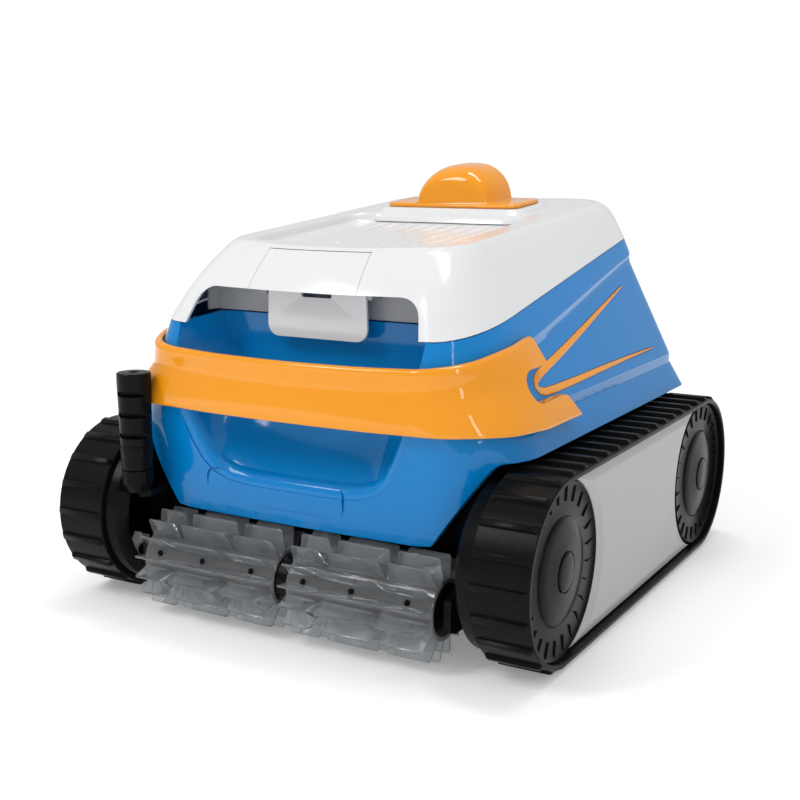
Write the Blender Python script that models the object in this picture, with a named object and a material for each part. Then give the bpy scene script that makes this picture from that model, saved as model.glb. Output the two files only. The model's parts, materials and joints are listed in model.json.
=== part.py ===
"""Tracked robotic pool cleaner, built as separate pieces on their real joints.

Frame: +Z up, -Y is the front (brushes and handle). Left (-X) and right (+X) are as seen from the front.
Z = 0 is the floor under the tracks. Lengths here are millimetres, and mesh_object() turns them into metres.
"""
import math

import bmesh
import bpy
from mathutils import Vector

MM = 0.001
GAP = 0.3                      # air between pieces that rest on each other

# Driving dimensions
OVERALL_WIDTH = 430.0
WHEELBASE = 328.0
TRACK_RADIUS = 73.8            # over the treads, round a wheel
BELT_WIDTH = 46.4
BAND_THICKNESS = 4.5
TREAD_HEIGHT = 3.0
TREAD_COUNT = 48

HALF_WIDTH = OVERALL_WIDTH / 2
AXLE_Y = WHEELBASE / 2
AXLE_Z = TRACK_RADIUS
BELT_INSIDE_X = HALF_WIDTH - BELT_WIDTH
BAND_OUTER_R = TRACK_RADIUS - TREAD_HEIGHT
BAND_INNER_R = BAND_OUTER_R - BAND_THICKNESS
WHEEL_R = BAND_INNER_R - GAP
WHEEL_FACE_X = HALF_WIDTH - 2.0

# Gearing inside each wheel drum
RING_TEETH = 40
PINION_TEETH = 8
TOOTH_MODULE = 2.95
RING_R = RING_TEETH * TOOTH_MODULE / 2
PINION_R = PINION_TEETH * TOOTH_MODULE / 2
GEAR_OFFSET = RING_R - PINION_R          # wheel axis to pinion axis
TOOTH_TIP = 2.2
TOOTH_ROOT = 2.8
GEAR_X = (158.0, 165.5)

# Brushes
BRUSH_R = 40.5
BRUSH_HUB_R = 23.5
BRUSH_Z = 42.0
BRUSH_Y = -AXLE_Y - math.sqrt(GEAR_OFFSET ** 2 - (AXLE_Z - BRUSH_Z) ** 2)
BRUSH_X = (6.0, 134.0)
BRUSH_BLADES = 15

# The row's origin is the middle of the whole length, brushes included
ORIGIN_SHIFT_Y = (BRUSH_R - BRUSH_Y - AXLE_Y - TRACK_RADIUS) / 2

# Body walls
WALL = 3.0
SEAM_SLOPE = 0.15
SEAM_Z = 265.5                 # height of the lid seam at Y = 0
APRON_Z = 85.0                 # lower edge of the front apron
APRON_HALF = 117.0
APRON_RISE = 1.48              # of its slanted edges
SKIRT_HALF = 180.0
CORNER_POWER = 0.92            # 1 is a true ellipse, less is fuller

# Lid
LID_HINGE_Y = 215.0
LID_HINGE_Z = 291.0
ROOF_SLOPE = 0.084
ROOF_Z = 312.0
PEDESTAL = 4.6                 # how far the hood's seat stands above the roof

# Outlet
PUMP_Y = 82.0
LATCH_Y = -161.0
LATCH_Z = 266.0
FINGER_END_LOW = 9.45          # columns of the body outline that the handle reaches
FINGER_END_HIGH = 9.17
DUCT_R = 35.5

DRIVE_Y = AXLE_Y - GEAR_OFFSET
FRAME_X = (138.0, 144.0)       # side frame plate
DECK_Z = (149.0, 152.0)

COLOURS = {                    # base colour, roughness, metallic
    "blue": ((0.045, 0.215, 0.53), 0.30, 0.0),
    "white": ((0.80, 0.80, 0.80), 0.28, 0.0),
    "orange": ((0.93, 0.38, 0.035), 0.30, 0.0),
    "grey": ((0.38, 0.39, 0.40), 0.45, 0.0),
    "dark_grey": ((0.10, 0.10, 0.10), 0.50, 0.0),
    "black": ((0.012, 0.012, 0.012), 0.45, 0.0),
    "rubber": ((0.02, 0.02, 0.02), 0.75, 0.0),
    "smoke": ((0.30, 0.30, 0.30), 0.35, 0.0),
    "steel": ((0.60, 0.60, 0.60), 0.25, 1.0),
    "mesh": ((0.35, 0.37, 0.38), 0.80, 0.0),
}


# ---------------------------------------------------------------- building blocks

def clear_scene():
    for item in list(bpy.data.objects):
        bpy.data.objects.remove(item, do_unlink=True)


def finish(name, colour):
    base, roughness, metallic = COLOURS[colour]
    material = bpy.data.materials.new(name)
    material.use_nodes = True
    shader = material.node_tree.nodes["Principled BSDF"]
    shader.inputs["Base Color"].default_value = (*base, 1.0)
    shader.inputs["Roughness"].default_value = roughness
    shader.inputs["Metallic"].default_value = metallic
    return material


def mesh_object(name, points, faces, pivot=(0, 0, 0)):
    """A mesh object from points in millimetres, with its origin at pivot."""
    pivot = Vector(pivot)
    mesh = bpy.data.meshes.new(name)
    mesh.from_pydata([(Vector(p) - pivot) * MM for p in points], [], faces)
    shape = bmesh.new()
    shape.from_mesh(mesh)
    bmesh.ops.remove_doubles(shape, verts=shape.verts, dist=1e-7)
    bmesh.ops.recalc_face_normals(shape, faces=shape.faces)
    shape.to_mesh(mesh)
    shape.free()
    thing = bpy.data.objects.new(name, mesh)
    thing.location = (pivot + Vector((0, ORIGIN_SHIFT_Y, 0))) * MM
    bpy.context.scene.collection.objects.link(thing)
    return thing


def add(name, colour, solid, pivot=(0, 0, 0), smooth=True):
    """A finished piece. solid is (points, faces)."""
    piece = mesh_object(name, *solid, pivot=pivot)
    piece.data.materials.append(finish(name, colour))
    if smooth:
        piece.data.shade_smooth()
        piece.data.set_sharp_from_angle(angle=math.radians(35))
    return piece


def tool(name, solid):
    """A cutter or a filler that shapes other pieces and is left out of the result."""
    helper = mesh_object("tool_" + name, *solid)
    helper.hide_render = True
    helper.display_type = "WIRE"
    return helper


def combine(piece, helper, operation="DIFFERENCE"):
    step = piece.modifiers.new(helper.name, "BOOLEAN")
    step.operation = operation
    step.solver = "EXACT"
    step.object = helper


def skin(rings, closed=False):
    """Join rings of equal length with quads. Ends are capped, or joined if closed."""
    count = len(rings[0])
    points = [p for ring in rings for p in ring]
    faces = []
    pairs = list(zip(range(len(rings) - 1), range(1, len(rings))))
    if closed:
        pairs.append((len(rings) - 1, 0))
    for low, high in pairs:
        for i in range(count):
            j = (i + 1) % count
            faces.append((low * count + i, low * count + j, high * count + j, high * count + i))
    if not closed:
        faces.append(tuple(range(count)))
        faces.append(tuple((len(rings) - 1) * count + i for i in range(count)))
    return points, faces


def place(axis, along, first, second):
    """A point from its distance along an axis and its two other coordinates in X, Y, Z order."""
    point = [first, second]
    point.insert("XYZ".index(axis), along)
    return tuple(point)


def prism(outline, axis, start, end):
    return skin([[place(axis, at, a, b) for a, b in outline] for at in (start, end)])


def box(x, y, z):
    outline = [(x[0], y[0]), (x[1], y[0]), (x[1], y[1]), (x[0], y[1])]
    return prism(outline, "Z", *z)


def rounded(half_a, half_b, radius, steps=4, centre=(0, 0)):
    """A rounded rectangle outline."""
    outline = []
    for quarter, (a, b) in enumerate(((1, 1), (-1, 1), (-1, -1), (1, -1))):
        for i in range(steps + 1):
            angle = math.radians(90 * (quarter + i / steps))
            outline.append((centre[0] + a * (half_a - radius) + radius * math.cos(angle),
                            centre[1] + b * (half_b - radius) + radius * math.sin(angle)))
    return outline


def circle(radius, count, centre=(0, 0), turn=0.0):
    return [(centre[0] + radius * math.cos(turn + math.tau * i / count),
             centre[1] + radius * math.sin(turn + math.tau * i / count)) for i in range(count)]


def turned(profile, axis, centre, count, closed=True):
    """Turn (along, radius) points about an axis. closed joins the last point to the first."""
    rings = [[place(axis, along, a, b) for a, b in circle(radius, count, centre)]
             for along, radius in profile]
    return skin(rings, closed)


def mirrored(solid, side):
    points, faces = solid
    return [(side * x, y, z) for x, y, z in points], faces


def merged(*solids):
    """Several closed solids in one mesh, for a cutter with several bodies."""
    points, faces = [], []
    for solid_points, solid_faces in solids:
        start = len(points)
        points += solid_points
        faces += [tuple(start + i for i in face) for face in solid_faces]
    return points, faces


# ---------------------------------------------------------------- body outlines

class Section:
    """One level of the body: a rounded outline in a plane that rises towards the rear."""

    def __init__(self, z, slope, half, shear, front, bow, rear, corner_x=103.0, corner_y=-115.0,
                 rear_corner=40.0):
        self.z, self.slope, self.half, self.shear = z, slope, half, shear
        self.front, self.bow, self.rear = front, bow, rear
        self.corner_x, self.corner_y, self.rear_corner = corner_x, corner_y, rear_corner

    def inset(self, amount, drop=0.0):
        return Section(self.z - drop, self.slope, self.half - amount, self.shear,
                       self.front + amount, self.bow, self.rear - amount, self.corner_x,
                       self.corner_y, self.rear_corner)

    def half_outline(self):
        """Points on the +X side, from the middle of the front to the middle of the rear."""
        outline = []
        for i in range(4):
            x = self.corner_x * i / 3
            outline.append((x, self.front + self.bow * (x / self.corner_x) ** 2))
        across = self.half - self.corner_x
        along = self.corner_y - self.front - self.bow
        for i in range(1, 7):
            angle = math.radians(15 * i)
            outline.append((self.corner_x + across * math.sin(angle) ** CORNER_POWER,
                            self.corner_y - along * math.cos(angle) ** CORNER_POWER))
        straight = self.rear - self.rear_corner - self.corner_y
        for i in (1, 2, 3):
            outline.append((self.half, self.corner_y + straight * i / 3))
        for i in (1, 2, 3, 4):
            angle = math.radians(22.5 * i)
            outline.append((self.half - self.rear_corner * (1 - math.cos(angle)),
                            self.rear - self.rear_corner * (1 - math.sin(angle))))
        outline.append((0.0, self.rear))
        return outline

    def ring(self):
        half = [(x - self.shear * y * x / self.half, y) for x, y in self.half_outline()]
        whole = half + [(-x, y) for x, y in reversed(half[1:-1])]
        return [(x, y, self.z + self.slope * y) for x, y in whole]


BODY = [
    Section(150.5, 0.0, SKIRT_HALF, 0.0, -198.0, 3.0, 232.0, 118.0, -138.0),
    Section(156.0, 0.0, 178.0, 0.0, -208.0, 4.0, 230.5, 115.0, -134.0),
    Section(200.0, 0.03, 162.0, 0.011, -211.0, 6.0, 218.0, 104.0, -117.0),
    Section(235.0, 0.10, 148.5, 0.038, -210.0, 8.0, 208.0),
    Section(SEAM_Z, SEAM_SLOPE, 137.0, 0.056, -204.0, 11.0, 200.0),
]
LID = [
    Section(SEAM_Z + 0.8, SEAM_SLOPE, 137.0, 0.056, -204.0, 11.0, 200.0),
    Section(290.0, 0.117, 125.0, 0.028, -190.0, 13.0, 194.0, 96.0, -112.0),
    Section(308.0, ROOF_SLOPE, 114.0, 0.0, -168.0, 16.0, 186.0, 82.0, -104.0),
    Section(ROOF_Z, ROOF_SLOPE, 108.0, 0.0, -160.0, 16.0, 179.0, 78.0, -104.0),
]


def apron_edge(ring):
    """The lowest ring of the body: over the tracks at the sides, down to the apron in front."""
    edge = []
    for x, y, z in ring:
        if y < 0:
            z = min(z, APRON_Z + max(0.0, abs(x) - APRON_HALF) * APRON_RISE)
        edge.append((x, y, z))
    return edge


def body_rings(amount):
    rings = [section.inset(amount).ring() for section in BODY]
    rings[0] = apron_edge(rings[0])
    return rings


def moved(ring, x=0.0, y=0.0, z=0.0):
    return [(a + x, b + y, c + z) for a, b, c in ring]


def pocket(margin):
    """The hand pocket: an opening in the front that scoops down under the handle.

    Its outlines stand in X and Z, from the front to the back wall; margin grows it on all sides.
    """
    stations = ((-232.0, 108.0, 104.0), (-199.0, 104.0, 111.0), (-176.0, 99.0, 137.0),
                (-158.0, 95.0, 162.0), (-151.0, 93.0, 174.0))
    top = 262.0
    rings = []
    for y, half, floor in stations:
        half += margin
        floor -= margin
        radius = 38.0
        ring = [(-half, y, top), (half, y, top)]
        for i in range(7):
            angle = math.radians(15 * i)
            ring.append((half - radius * (1 - math.cos(angle)), y,
                         floor + radius * (1 - math.sin(angle))))
        for i in range(7):
            angle = math.radians(90 + 15 * i)
            ring.append((-half + radius * (1 + math.cos(angle)), y,
                         floor + radius * (1 - math.sin(angle))))
        rings.append(ring)
    rings[-1] = moved(rings[-1], y=margin)
    return skin(rings)


# ---------------------------------------------------------------- body and lid

def build_body_shell():
    outer = body_rings(0.0)
    inner = body_rings(WALL)
    shell = add("body_shell", "blue", skin(outer + inner[::-1], closed=True))
    below = [(x, y, APRON_Z - 40.0) for x, y, z in outer[0]]
    liner = tool("pocket_liner", pocket(WALL))
    combine(liner, tool("body_solid", skin([below] + outer)), "INTERSECT")
    combine(shell, liner, "UNION")
    combine(shell, tool("pocket", pocket(0.0)))


def sloped(outline, z, scale=1.0):
    """Lift a plan outline into the roof's plane."""
    return [(x * scale, y * scale, z + ROOF_SLOPE * y) for x, y in outline]


def badge(margin, low, high):
    """The middle panel of the lid's front, between two depths below its surface."""
    rings = []
    for x in (-50.0, -25.0, 0.0, 25.0, 50.0):
        bow = 13.0 * (x / 96.0) ** 2
        x *= 1.0 + margin / 50.0
        rings.append([(x, -190.3 + bow + low - margin, 267.0 - margin),
                      (x, -167.5 + bow + low + margin, 294.2 + margin),
                      (x, -167.5 + bow + high + margin, 294.2 + margin),
                      (x, -190.3 + bow + high - margin, 267.0 - margin)])
    return skin(rings)


def hinge_eye(reach, radius=6.0):
    """A round eye on the lid hinge axis with an arm that ends at reach, in Y and Z."""
    turn = [math.radians(80 - 30 * i) for i in range(7)]
    eye = [(LID_HINGE_Y + radius * math.cos(a), LID_HINGE_Z + radius * math.sin(a)) for a in turn]
    return reach[:1] + eye + reach[1:]


def build_lid():
    lid = add("lid", "white", skin([section.ring() for section in LID]))
    dish = rounded(92, 90, 24, 4, (0, -46))
    combine(lid, tool("dish", skin([sloped(dish, 305.0, 0.97), sloped(dish, 318.0, 1.03)])))
    inner = [section.inset(WALL).ring() for section in LID[:3]]
    inner = [moved(inner[0], z=-10.0), inner[0], inner[1], moved(inner[2], z=-9.0)]
    combine(lid, tool("lid_cavity", skin(inner)))
    slot = prism([(-112, 228), (112, 228), (93, 258), (84, 266), (-84, 266), (-93, 258)],
                 "Y", -240, -158)
    combine(lid, tool("lid_opening", slot))
    combine(lid, tool("badge_seat", badge(0.5, -6.0, 1.2)))
    pedestal = skin([sloped(rounded(84, 45, 24, 4, (0, PUMP_Y)), ROOF_Z - 6.0),
                     sloped(rounded(69.5, 31.5, 12, 4, (0, PUMP_Y)), ROOF_Z + PEDESTAL)])
    combine(lid, tool("pedestal", pedestal), "UNION")
    throat = prism(rounded(36, 18, 16, 4, (0, PUMP_Y)), "Z", 280, 340)
    combine(lid, tool("throat", throat))
    eye = hinge_eye([(191.0, 305.0), (207.8, 292.0), (204.0, 297.0), (191.0, 299.5)])
    for number, side in enumerate((1, -1)):
        arm = mirrored(prism(eye, "X", 47.0, 61.0), side)
        combine(lid, tool("lid_eye_%d" % number, arm), "UNION")
    pin_hole = prism(circle(2.7, 16, (LID_HINGE_Y, LID_HINGE_Z)), "X", -120, 120)
    combine(lid, tool("lid_pin_hole", pin_hole))


def build_lid_fittings():
    """What the lid carries: badge panel, inner wall, latch, grille and hood."""
    add("badge_panel", "white", badge(0.0, -0.4, 0.9))
    wall = add("lid_inner_wall", "dark_grey", box((-96, 96), (-150.0, -147.4), (246.0, 282.0)))
    for number, side in enumerate((1, -1)):
        lug = mirrored(box((46.8, 51.0), (LATCH_Y - 5, -149.0), (LATCH_Z - 5, LATCH_Z + 6)), side)
        combine(wall, tool("latch_lug_%d" % number, lug), "UNION")
    pin_hole = prism(circle(1.65, 12, (LATCH_Y, LATCH_Z)), "X", -60, 60)
    combine(wall, tool("latch_pin_hole", pin_hole))
    add("latch_pin", "steel", prism(circle(1.5, 12, (LATCH_Y, LATCH_Z)), "X", -50.5, 50.5))

    pivot = (0, LATCH_Y, LATCH_Z)
    low, high = LATCH_Z - 38.0, LATCH_Z
    outline = [(45, high), (-45, high)]
    outline += [(-46 + 10 * (1 - math.cos(a)), low + 10 * (1 - math.sin(a)))
                for a in [math.radians(22.5 * i) for i in range(5)]]
    outline += [(46 - 10 * (1 - math.cos(a)), low + 10 * (1 - math.sin(a)))
                for a in [math.radians(22.5 * i) for i in range(4, -1, -1)]]
    tongue = add("latch_tongue", "white", prism(outline, "Y", LATCH_Y - 4.0, LATCH_Y - 1.6), pivot)
    barrel = prism(circle(4.0, 16, (LATCH_Y, LATCH_Z)), "X", -46.0, 46.0)
    combine(tongue, tool("latch_barrel", barrel), "UNION")
    hook = prism([(LATCH_Y - 2.5, 231.0), (-154.0, 231.0), (-153.0, 234.5), (LATCH_Y - 2.5, 236.0)],
                 "X", -9.0, 9.0)
    combine(tongue, tool("latch_hook", hook), "UNION")
    combine(tongue, tool("latch_bore", prism(circle(1.65, 12, (LATCH_Y, LATCH_Z)), "X", -60, 60)))
    combine(tongue, tool("spring_gap", box((-14, 14), (LATCH_Y - 6, LATCH_Y + 6),
                                           (LATCH_Z - 6, LATCH_Z + 6))))
    add("latch_spring", "steel", turned([(-13.0, 1.9), (-13.0, 3.2), (13.0, 3.2), (13.0, 1.9)],
                                        "X", (LATCH_Y, LATCH_Z), 16))
    add("latch_catch", "black", prism([(-151.3, 238.0), (-156.5, 238.0), (-156.5, 240.0),
                                       (-151.3, 242.0)], "X", -12.0, 12.0))
    grille = add("outlet_grille", "black", prism(rounded(35.6, 17.6, 15.6, 4, (0, PUMP_Y)),
                                                 "Z", 306.0, 309.0))
    slots = [box((x - 4.0, x + 4.0), (PUMP_Y - 13, PUMP_Y + 13), (300, 315))
             for x in (-22, -11, 0, 11, 22)]
    combine(grille, tool("grille_slots", merged(*slots)))
    build_outlet_hood()


def build_lid_hinges():
    """Two brackets on the rear of the body, each with a pin through the lid's eye."""
    for label, side in (("left", -1), ("right", 1)):
        ear = hinge_eye([(208.0, 292.0), (208.0, 270.0)])
        bracket = add("hinge_bracket_" + label, "black", mirrored(prism(ear, "X", 41, 67), side))
        gap = mirrored(box((46.6, 61.4), (LID_HINGE_Y - 9, LID_HINGE_Y + 9), (280.0, 300.0)), side)
        combine(bracket, tool("eye_gap_" + label, gap))
        hole = prism(circle(2.6, 16, (LID_HINGE_Y, LID_HINGE_Z)), "X", -120, 120)
        combine(bracket, tool("bracket_hole_" + label, hole))
        pin = prism(circle(2.5, 16, (LID_HINGE_Y, LID_HINGE_Z)), "X", 39.5, 68.5)
        add("hinge_pin_" + label, "steel", mirrored(pin, side))


def wall_point(u, z, out=0.0):
    """A point on the body wall, right side. u counts columns of the outline from the front."""
    columns = [section.ring() for section in BODY]
    left = int(u)
    part = u - left
    ladder = []
    for ring in columns:
        a, b = ring[left], ring[left + 1]
        ladder.append([p + (q - p) * part for p, q in zip(a, b)])
    for low, high in zip(ladder, ladder[1:]):
        if z <= high[2] or high is ladder[-1]:
            t = (z - low[2]) / (high[2] - low[2])
            x = low[0] + (high[0] - low[0]) * t
            y = low[1] + (high[1] - low[1]) * t
            break
    a, b = columns[2][left], columns[2][left + 1]
    length = math.hypot(b[0] - a[0], b[1] - a[1])
    return (x + out * (b[1] - a[1]) / length, y - out * (b[0] - a[0]) / length, z)


def side_point(y, z, out=0.0):
    """A point on the right side wall at a given Y."""
    low, high = 4.0, 15.0
    for _ in range(24):
        middle = (low + high) / 2
        if wall_point(middle, z)[1] < y:
            low = middle
        else:
            high = middle
    return wall_point(low, z, out)


def build_handle():
    """The grip band across the front, wrapped round both corners, with two fingers at each end."""
    stations = ((0.0, 171.0, 217.5), (1.0, 171.0, 217.5), (2.0, 171.0, 218.0), (3.0, 171.5, 219.0),
                (4.0, 172.0, 220.5), (5.0, 172.5, 222.0), (6.0, 172.0, 224.0), (7.0, 171.0, 227.0),
                (8.3, 169.8, 230.0))

    def slice_at(u, low, high, grip=2.6):
        middle = (low + high) / 2
        levels = ((1.8, low), (6.4, low), (7.0, low + 4), (7.0 - grip, middle), (7.0, high - 4),
                  (6.4, high), (1.8, high), (2.0, (low + high) / 2 + 1.0))
        return [wall_point(u, z, out) for out, z in levels]

    half = [slice_at(*station) for station in stations]
    other = [[(-x, y, z) for x, y, z in ring] for ring in half[:0:-1]]
    handle = add("carry_handle", "orange", skin(other + half))
    for number, (low, high, reach) in enumerate(((169.8, 186.0, FINGER_END_LOW), (212.0, 230.0, FINGER_END_HIGH))):
        rings = [slice_at(u, low, high, 0.4) for u in (7.9, 8.5, 9.0, reach)]
        for side in (1, -1):
            finger = tool("finger_%d_%d" % (number, side), mirrored(skin(rings), side))
            combine(handle, finger, "UNION")
    return handle


def build_stripes():
    """A tapered V on each side, its point nested between the handle's fingers."""
    path = ((128.0, 250.0, 0.8), (70.0, 237.5, 2.8), (13.0, 225.4, 4.4), (-40.0, 215.0, 5.6),
            (-85.0, 206.5, 6.2), (-104.0, 202.0, 6.2), (-109.5, 196.5, 6.0), (-102.0, 191.8, 5.8),
            (-80.0, 190.6, 5.4), (-30.0, 190.6, 4.8), (20.0, 191.4, 4.0), (85.0, 192.0, 2.4),
            (150.0, 192.2, 0.8))
    rings = []
    for number, (y, z, width) in enumerate(path):
        before = path[max(number - 1, 0)]
        after = path[min(number + 1, len(path) - 1)]
        length = math.hypot(after[0] - before[0], after[1] - before[1])
        across = ((before[1] - after[1]) / length, (after[0] - before[0]) / length)
        ring = []
        for half, out in ((-0.5, 0.6), (0.5, 0.6), (0.5, 1.8), (-0.5, 1.8)):
            ring.append(side_point(y + across[0] * width * half, z + across[1] * width * half, out))
        rings.append(ring)
    for label, side in (("left", -1), ("right", 1)):
        add("stripe_" + label, "orange", mirrored(skin(rings), side))


def build_outlet_hood():
    """An arched cowl on a flange. It is open to the rear, where the water leaves."""
    base = ROOF_Z + PEDESTAL + GAP
    rings = [sloped(rounded(half, deep, 10, 3, (0, PUMP_Y)), z)
             for half, deep, z in ((67, 29, base), (65.5, 27.5, base + 3.2))]
    hood = add("outlet_hood", "orange", skin(rings))

    def cowl(half, height, rear, front, nose):
        """Arches from the rear opening to the rounded nose."""
        arches = []
        for y, scale in ((rear, 1.0), (front + nose, 1.0), (front + 0.55 * nose, 0.96),
                         (front + 0.2 * nose, 0.85), (front, 0.62)):
            across = half * (0.6 + 0.4 * scale)
            low = base + ROOF_SLOPE * y
            arch = [(-across, y, low + 2.0)]
            for i in range(9):
                a = math.pi * (1 - i / 8)
                lean = 1.0 - 0.22 * math.sin(a)
                arch.append((across * lean * math.copysign(abs(math.cos(a)) ** 0.8, math.cos(a)), y,
                             low + 5.0 + (height * scale - 5.0) * math.sin(a) ** 0.7))
            arch.append((across, y, low + 2.0))
            arches.append(arch)
        return skin(arches)

    combine(hood, tool("cowl", cowl(40.0, 36.0, 102.0, 58.0, 24.0)), "UNION")
    combine(hood, tool("cowl_hollow", cowl(37.0, 33.0, 118.0, 62.0, 22.0)))
    mouth = prism(rounded(33, 16, 13, 3, (0, PUMP_Y)), "Z", base - 10, base + 18)
    combine(hood, tool("flange_hole", mouth))


# ---------------------------------------------------------------- tracks and wheels

def track_outline(radius, tread=0.0):
    """Y, Z points round both wheels. With a tread height, bars stand on the radius."""
    bend = math.pi * radius
    length = 2 * (WHEELBASE + bend)

    def at(distance, height):
        distance %= length
        if distance < WHEELBASE:
            return (-AXLE_Y + distance, AXLE_Z - radius - height)
        if distance < WHEELBASE + bend:
            a = (distance - WHEELBASE) / radius - math.pi / 2
            return (AXLE_Y + (radius + height) * math.cos(a),
                    AXLE_Z + (radius + height) * math.sin(a))
        if distance < 2 * WHEELBASE + bend:
            return (AXLE_Y - (distance - WHEELBASE - bend), AXLE_Z + radius + height)
        a = (distance - 2 * WHEELBASE - bend) / radius + math.pi / 2
        return (-AXLE_Y + (radius + height) * math.cos(a),
                AXLE_Z + (radius + height) * math.sin(a))

    outline = []
    pitch = length / TREAD_COUNT
    for number in range(TREAD_COUNT):
        middle = number * pitch
        if tread:
            outline += [at(middle - 3.4, 0.0), at(middle - 2.3, tread), at(middle + 2.3, tread),
                        at(middle + 3.4, 0.0)]
        outline.append(at(middle + pitch / 2, 0.0))
        if not tread:
            outline.append(at(middle + pitch, 0.0))
    return outline


def build_track(label, side):
    outer = track_outline(BAND_OUTER_R, TREAD_HEIGHT)
    belt = add("track_belt_" + label, "rubber",
               mirrored(prism(outer, "X", BELT_INSIDE_X, HALF_WIDTH), side), smooth=False)
    inner = stadium(BAND_INNER_R, 24)
    combine(belt, tool("belt_inside_" + label, prism(inner, "X", -300, 300)))


def stadium(radius, steps):
    """A smooth Y, Z outline round both wheels."""
    outline = [(AXLE_Y + radius * math.cos(a), AXLE_Z + radius * math.sin(a))
               for a in [math.pi * (i / steps - 0.5) for i in range(steps + 1)]]
    outline += [(-AXLE_Y + radius * math.cos(a), AXLE_Z + radius * math.sin(a))
                for a in [math.pi * (i / steps + 0.5) for i in range(steps + 1)]]
    return outline


def teeth(count, tip, root, centre, turn):
    """A gear outline in Y, Z with plain V teeth. The first tooth points along turn."""
    outline = []
    step = math.tau / count
    for number in range(count):
        for offset, radius in ((0.0, tip), (0.5, root)):
            angle = turn + (number + offset) * step
            outline.append((centre[0] + radius * math.cos(angle),
                            centre[1] + radius * math.sin(angle)))
    return outline


def build_wheel(label, y, side, mesh_angle):
    """A spoked drum with an internal toothed ring. mesh_angle points at its pinion."""
    pivot = (0, y, AXLE_Z)
    tip = RING_R - TOOTH_TIP
    profile = [(151, 57), (157.5, WHEEL_R), (WHEEL_FACE_X, WHEEL_R), (WHEEL_FACE_X, 62),
               (207.5, 59), (207.5, 41), (210, 37), (210.4, 8.15), (146.5, 8.15), (146.5, 14),
               (203.5, 14), (203.5, 52), (200, tip), (151, tip)]
    solid = turned([(side * x, r) for x, r in profile], "X", (y, AXLE_Z), 32)
    wheel = add("wheel_" + label, "black", solid, pivot)
    spaces = teeth(RING_TEETH, RING_R + TOOTH_ROOT, tip - 0.6, (y, AXLE_Z), mesh_angle)
    middle = circle(tip - 4.0, 2 * RING_TEETH, (y, AXLE_Z), mesh_angle)
    ends = [side * (GEAR_X[0] - 0.5), side * (GEAR_X[1] + 0.5)]
    rings = [[(x, *p) for p in outline] for outline, x in
             ((spaces, ends[0]), (spaces, ends[1]), (middle, ends[1]), (middle, ends[0]))]
    combine(wheel, tool("ring_space_" + label, skin(rings, closed=True)))


def build_axles():
    for label, y, side in wheel_places():
        profile = [(138.2, 0.0), (138.2, 8.0), (210.9, 8.0), (210.9, 12.5), (212.6, 11.5),
                   (212.9, 0.0)]
        profile = [(side * x, max(r, 0.01)) for x, r in profile]
        add("axle_" + label, "steel", turned(profile, "X", (y, AXLE_Z), 16, closed=False))


def wheel_places():
    return [("front_left", -AXLE_Y, -1), ("rear_left", AXLE_Y, -1),
            ("front_right", -AXLE_Y, 1), ("rear_right", AXLE_Y, 1)]


def build_running_gear():
    front_mesh = math.atan2(BRUSH_Z - AXLE_Z, BRUSH_Y + AXLE_Y)
    for label, y, side in wheel_places():
        build_wheel(label, y, side, front_mesh if y < 0 else math.pi)
    build_axles()
    for label, side in (("left", -1), ("right", 1)):
        build_track(label, side)
        build_side_frame(label, side)
        build_side_cover(label, side)
        build_drive_gear(label, side)
        build_brush(label, side, front_mesh)


def build_side_frame(label, side):
    """A plate with the axle bosses, and a deck over the track that the body sits on."""
    outline = [(-212, 30), (-204, 27), (194, 27), (204, 37), (204, 140), (190, 149.5),
               (-165, 149.5), (-165, 91), (-186, 62), (-212, 54)]
    frame = add("side_frame_" + label, "black", mirrored(prism(outline, "X", *FRAME_X), side))
    deck = mirrored(box((FRAME_X[0], 172), (-138, 186), DECK_Z), side)
    combine(frame, tool("deck_" + label, deck), "UNION")
    holes = [prism(circle(8.2, 16, (y, AXLE_Z)), "X", -200, 200) for y in (-AXLE_Y, AXLE_Y)]
    holes.append(prism(circle(5.15, 16, (BRUSH_Y, BRUSH_Z)), "X", -200, 200))
    holes.append(prism(circle(4.15, 16, (DRIVE_Y, AXLE_Z)), "X", -200, 200))
    holes += [prism(circle(4.5, 12, (y, AXLE_Z)), "X", -200, 200) for y in (-60.0, 60.0)]
    combine(frame, tool("frame_holes_" + label, merged(*holes)))


def build_side_cover(label, side):
    """The pale panel between the wheels, on two posts that plug into the side frame."""
    radius = WHEEL_R + 1.6
    top = BAND_INNER_R - 1.2
    reach = math.asin(top / radius)
    outline = [(-AXLE_Y + radius * math.cos(a), AXLE_Z + radius * math.sin(a))
               for a in [reach * (1 - i / 5) for i in range(11)]]
    outline += [(AXLE_Y - radius * math.cos(a), AXLE_Z + radius * math.sin(a))
                for a in [-reach * (1 - i / 5) for i in range(11)]]
    cover = add("side_cover_" + label, "grey",
                mirrored(prism(outline, "X", 206.0, 211.5), side), smooth=False)
    inner = [(y * 0.96, AXLE_Z + (z - AXLE_Z) * 0.955) for y, z in outline]
    combine(cover, tool("cover_hollow_" + label, mirrored(prism(inner, "X", 200.0, 209.0), side)))
    for number, y in enumerate((-60.0, 60.0)):
        post = turned([(side * x, r) for x, r in ((209.5, 7.0), (144.5, 7.0), (144.5, 4.0),
                                                  (139.0, 4.0))], "X", (y, AXLE_Z), 16, False)
        combine(cover, tool("cover_post_%s_%d" % (label, number), post), "UNION")


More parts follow.
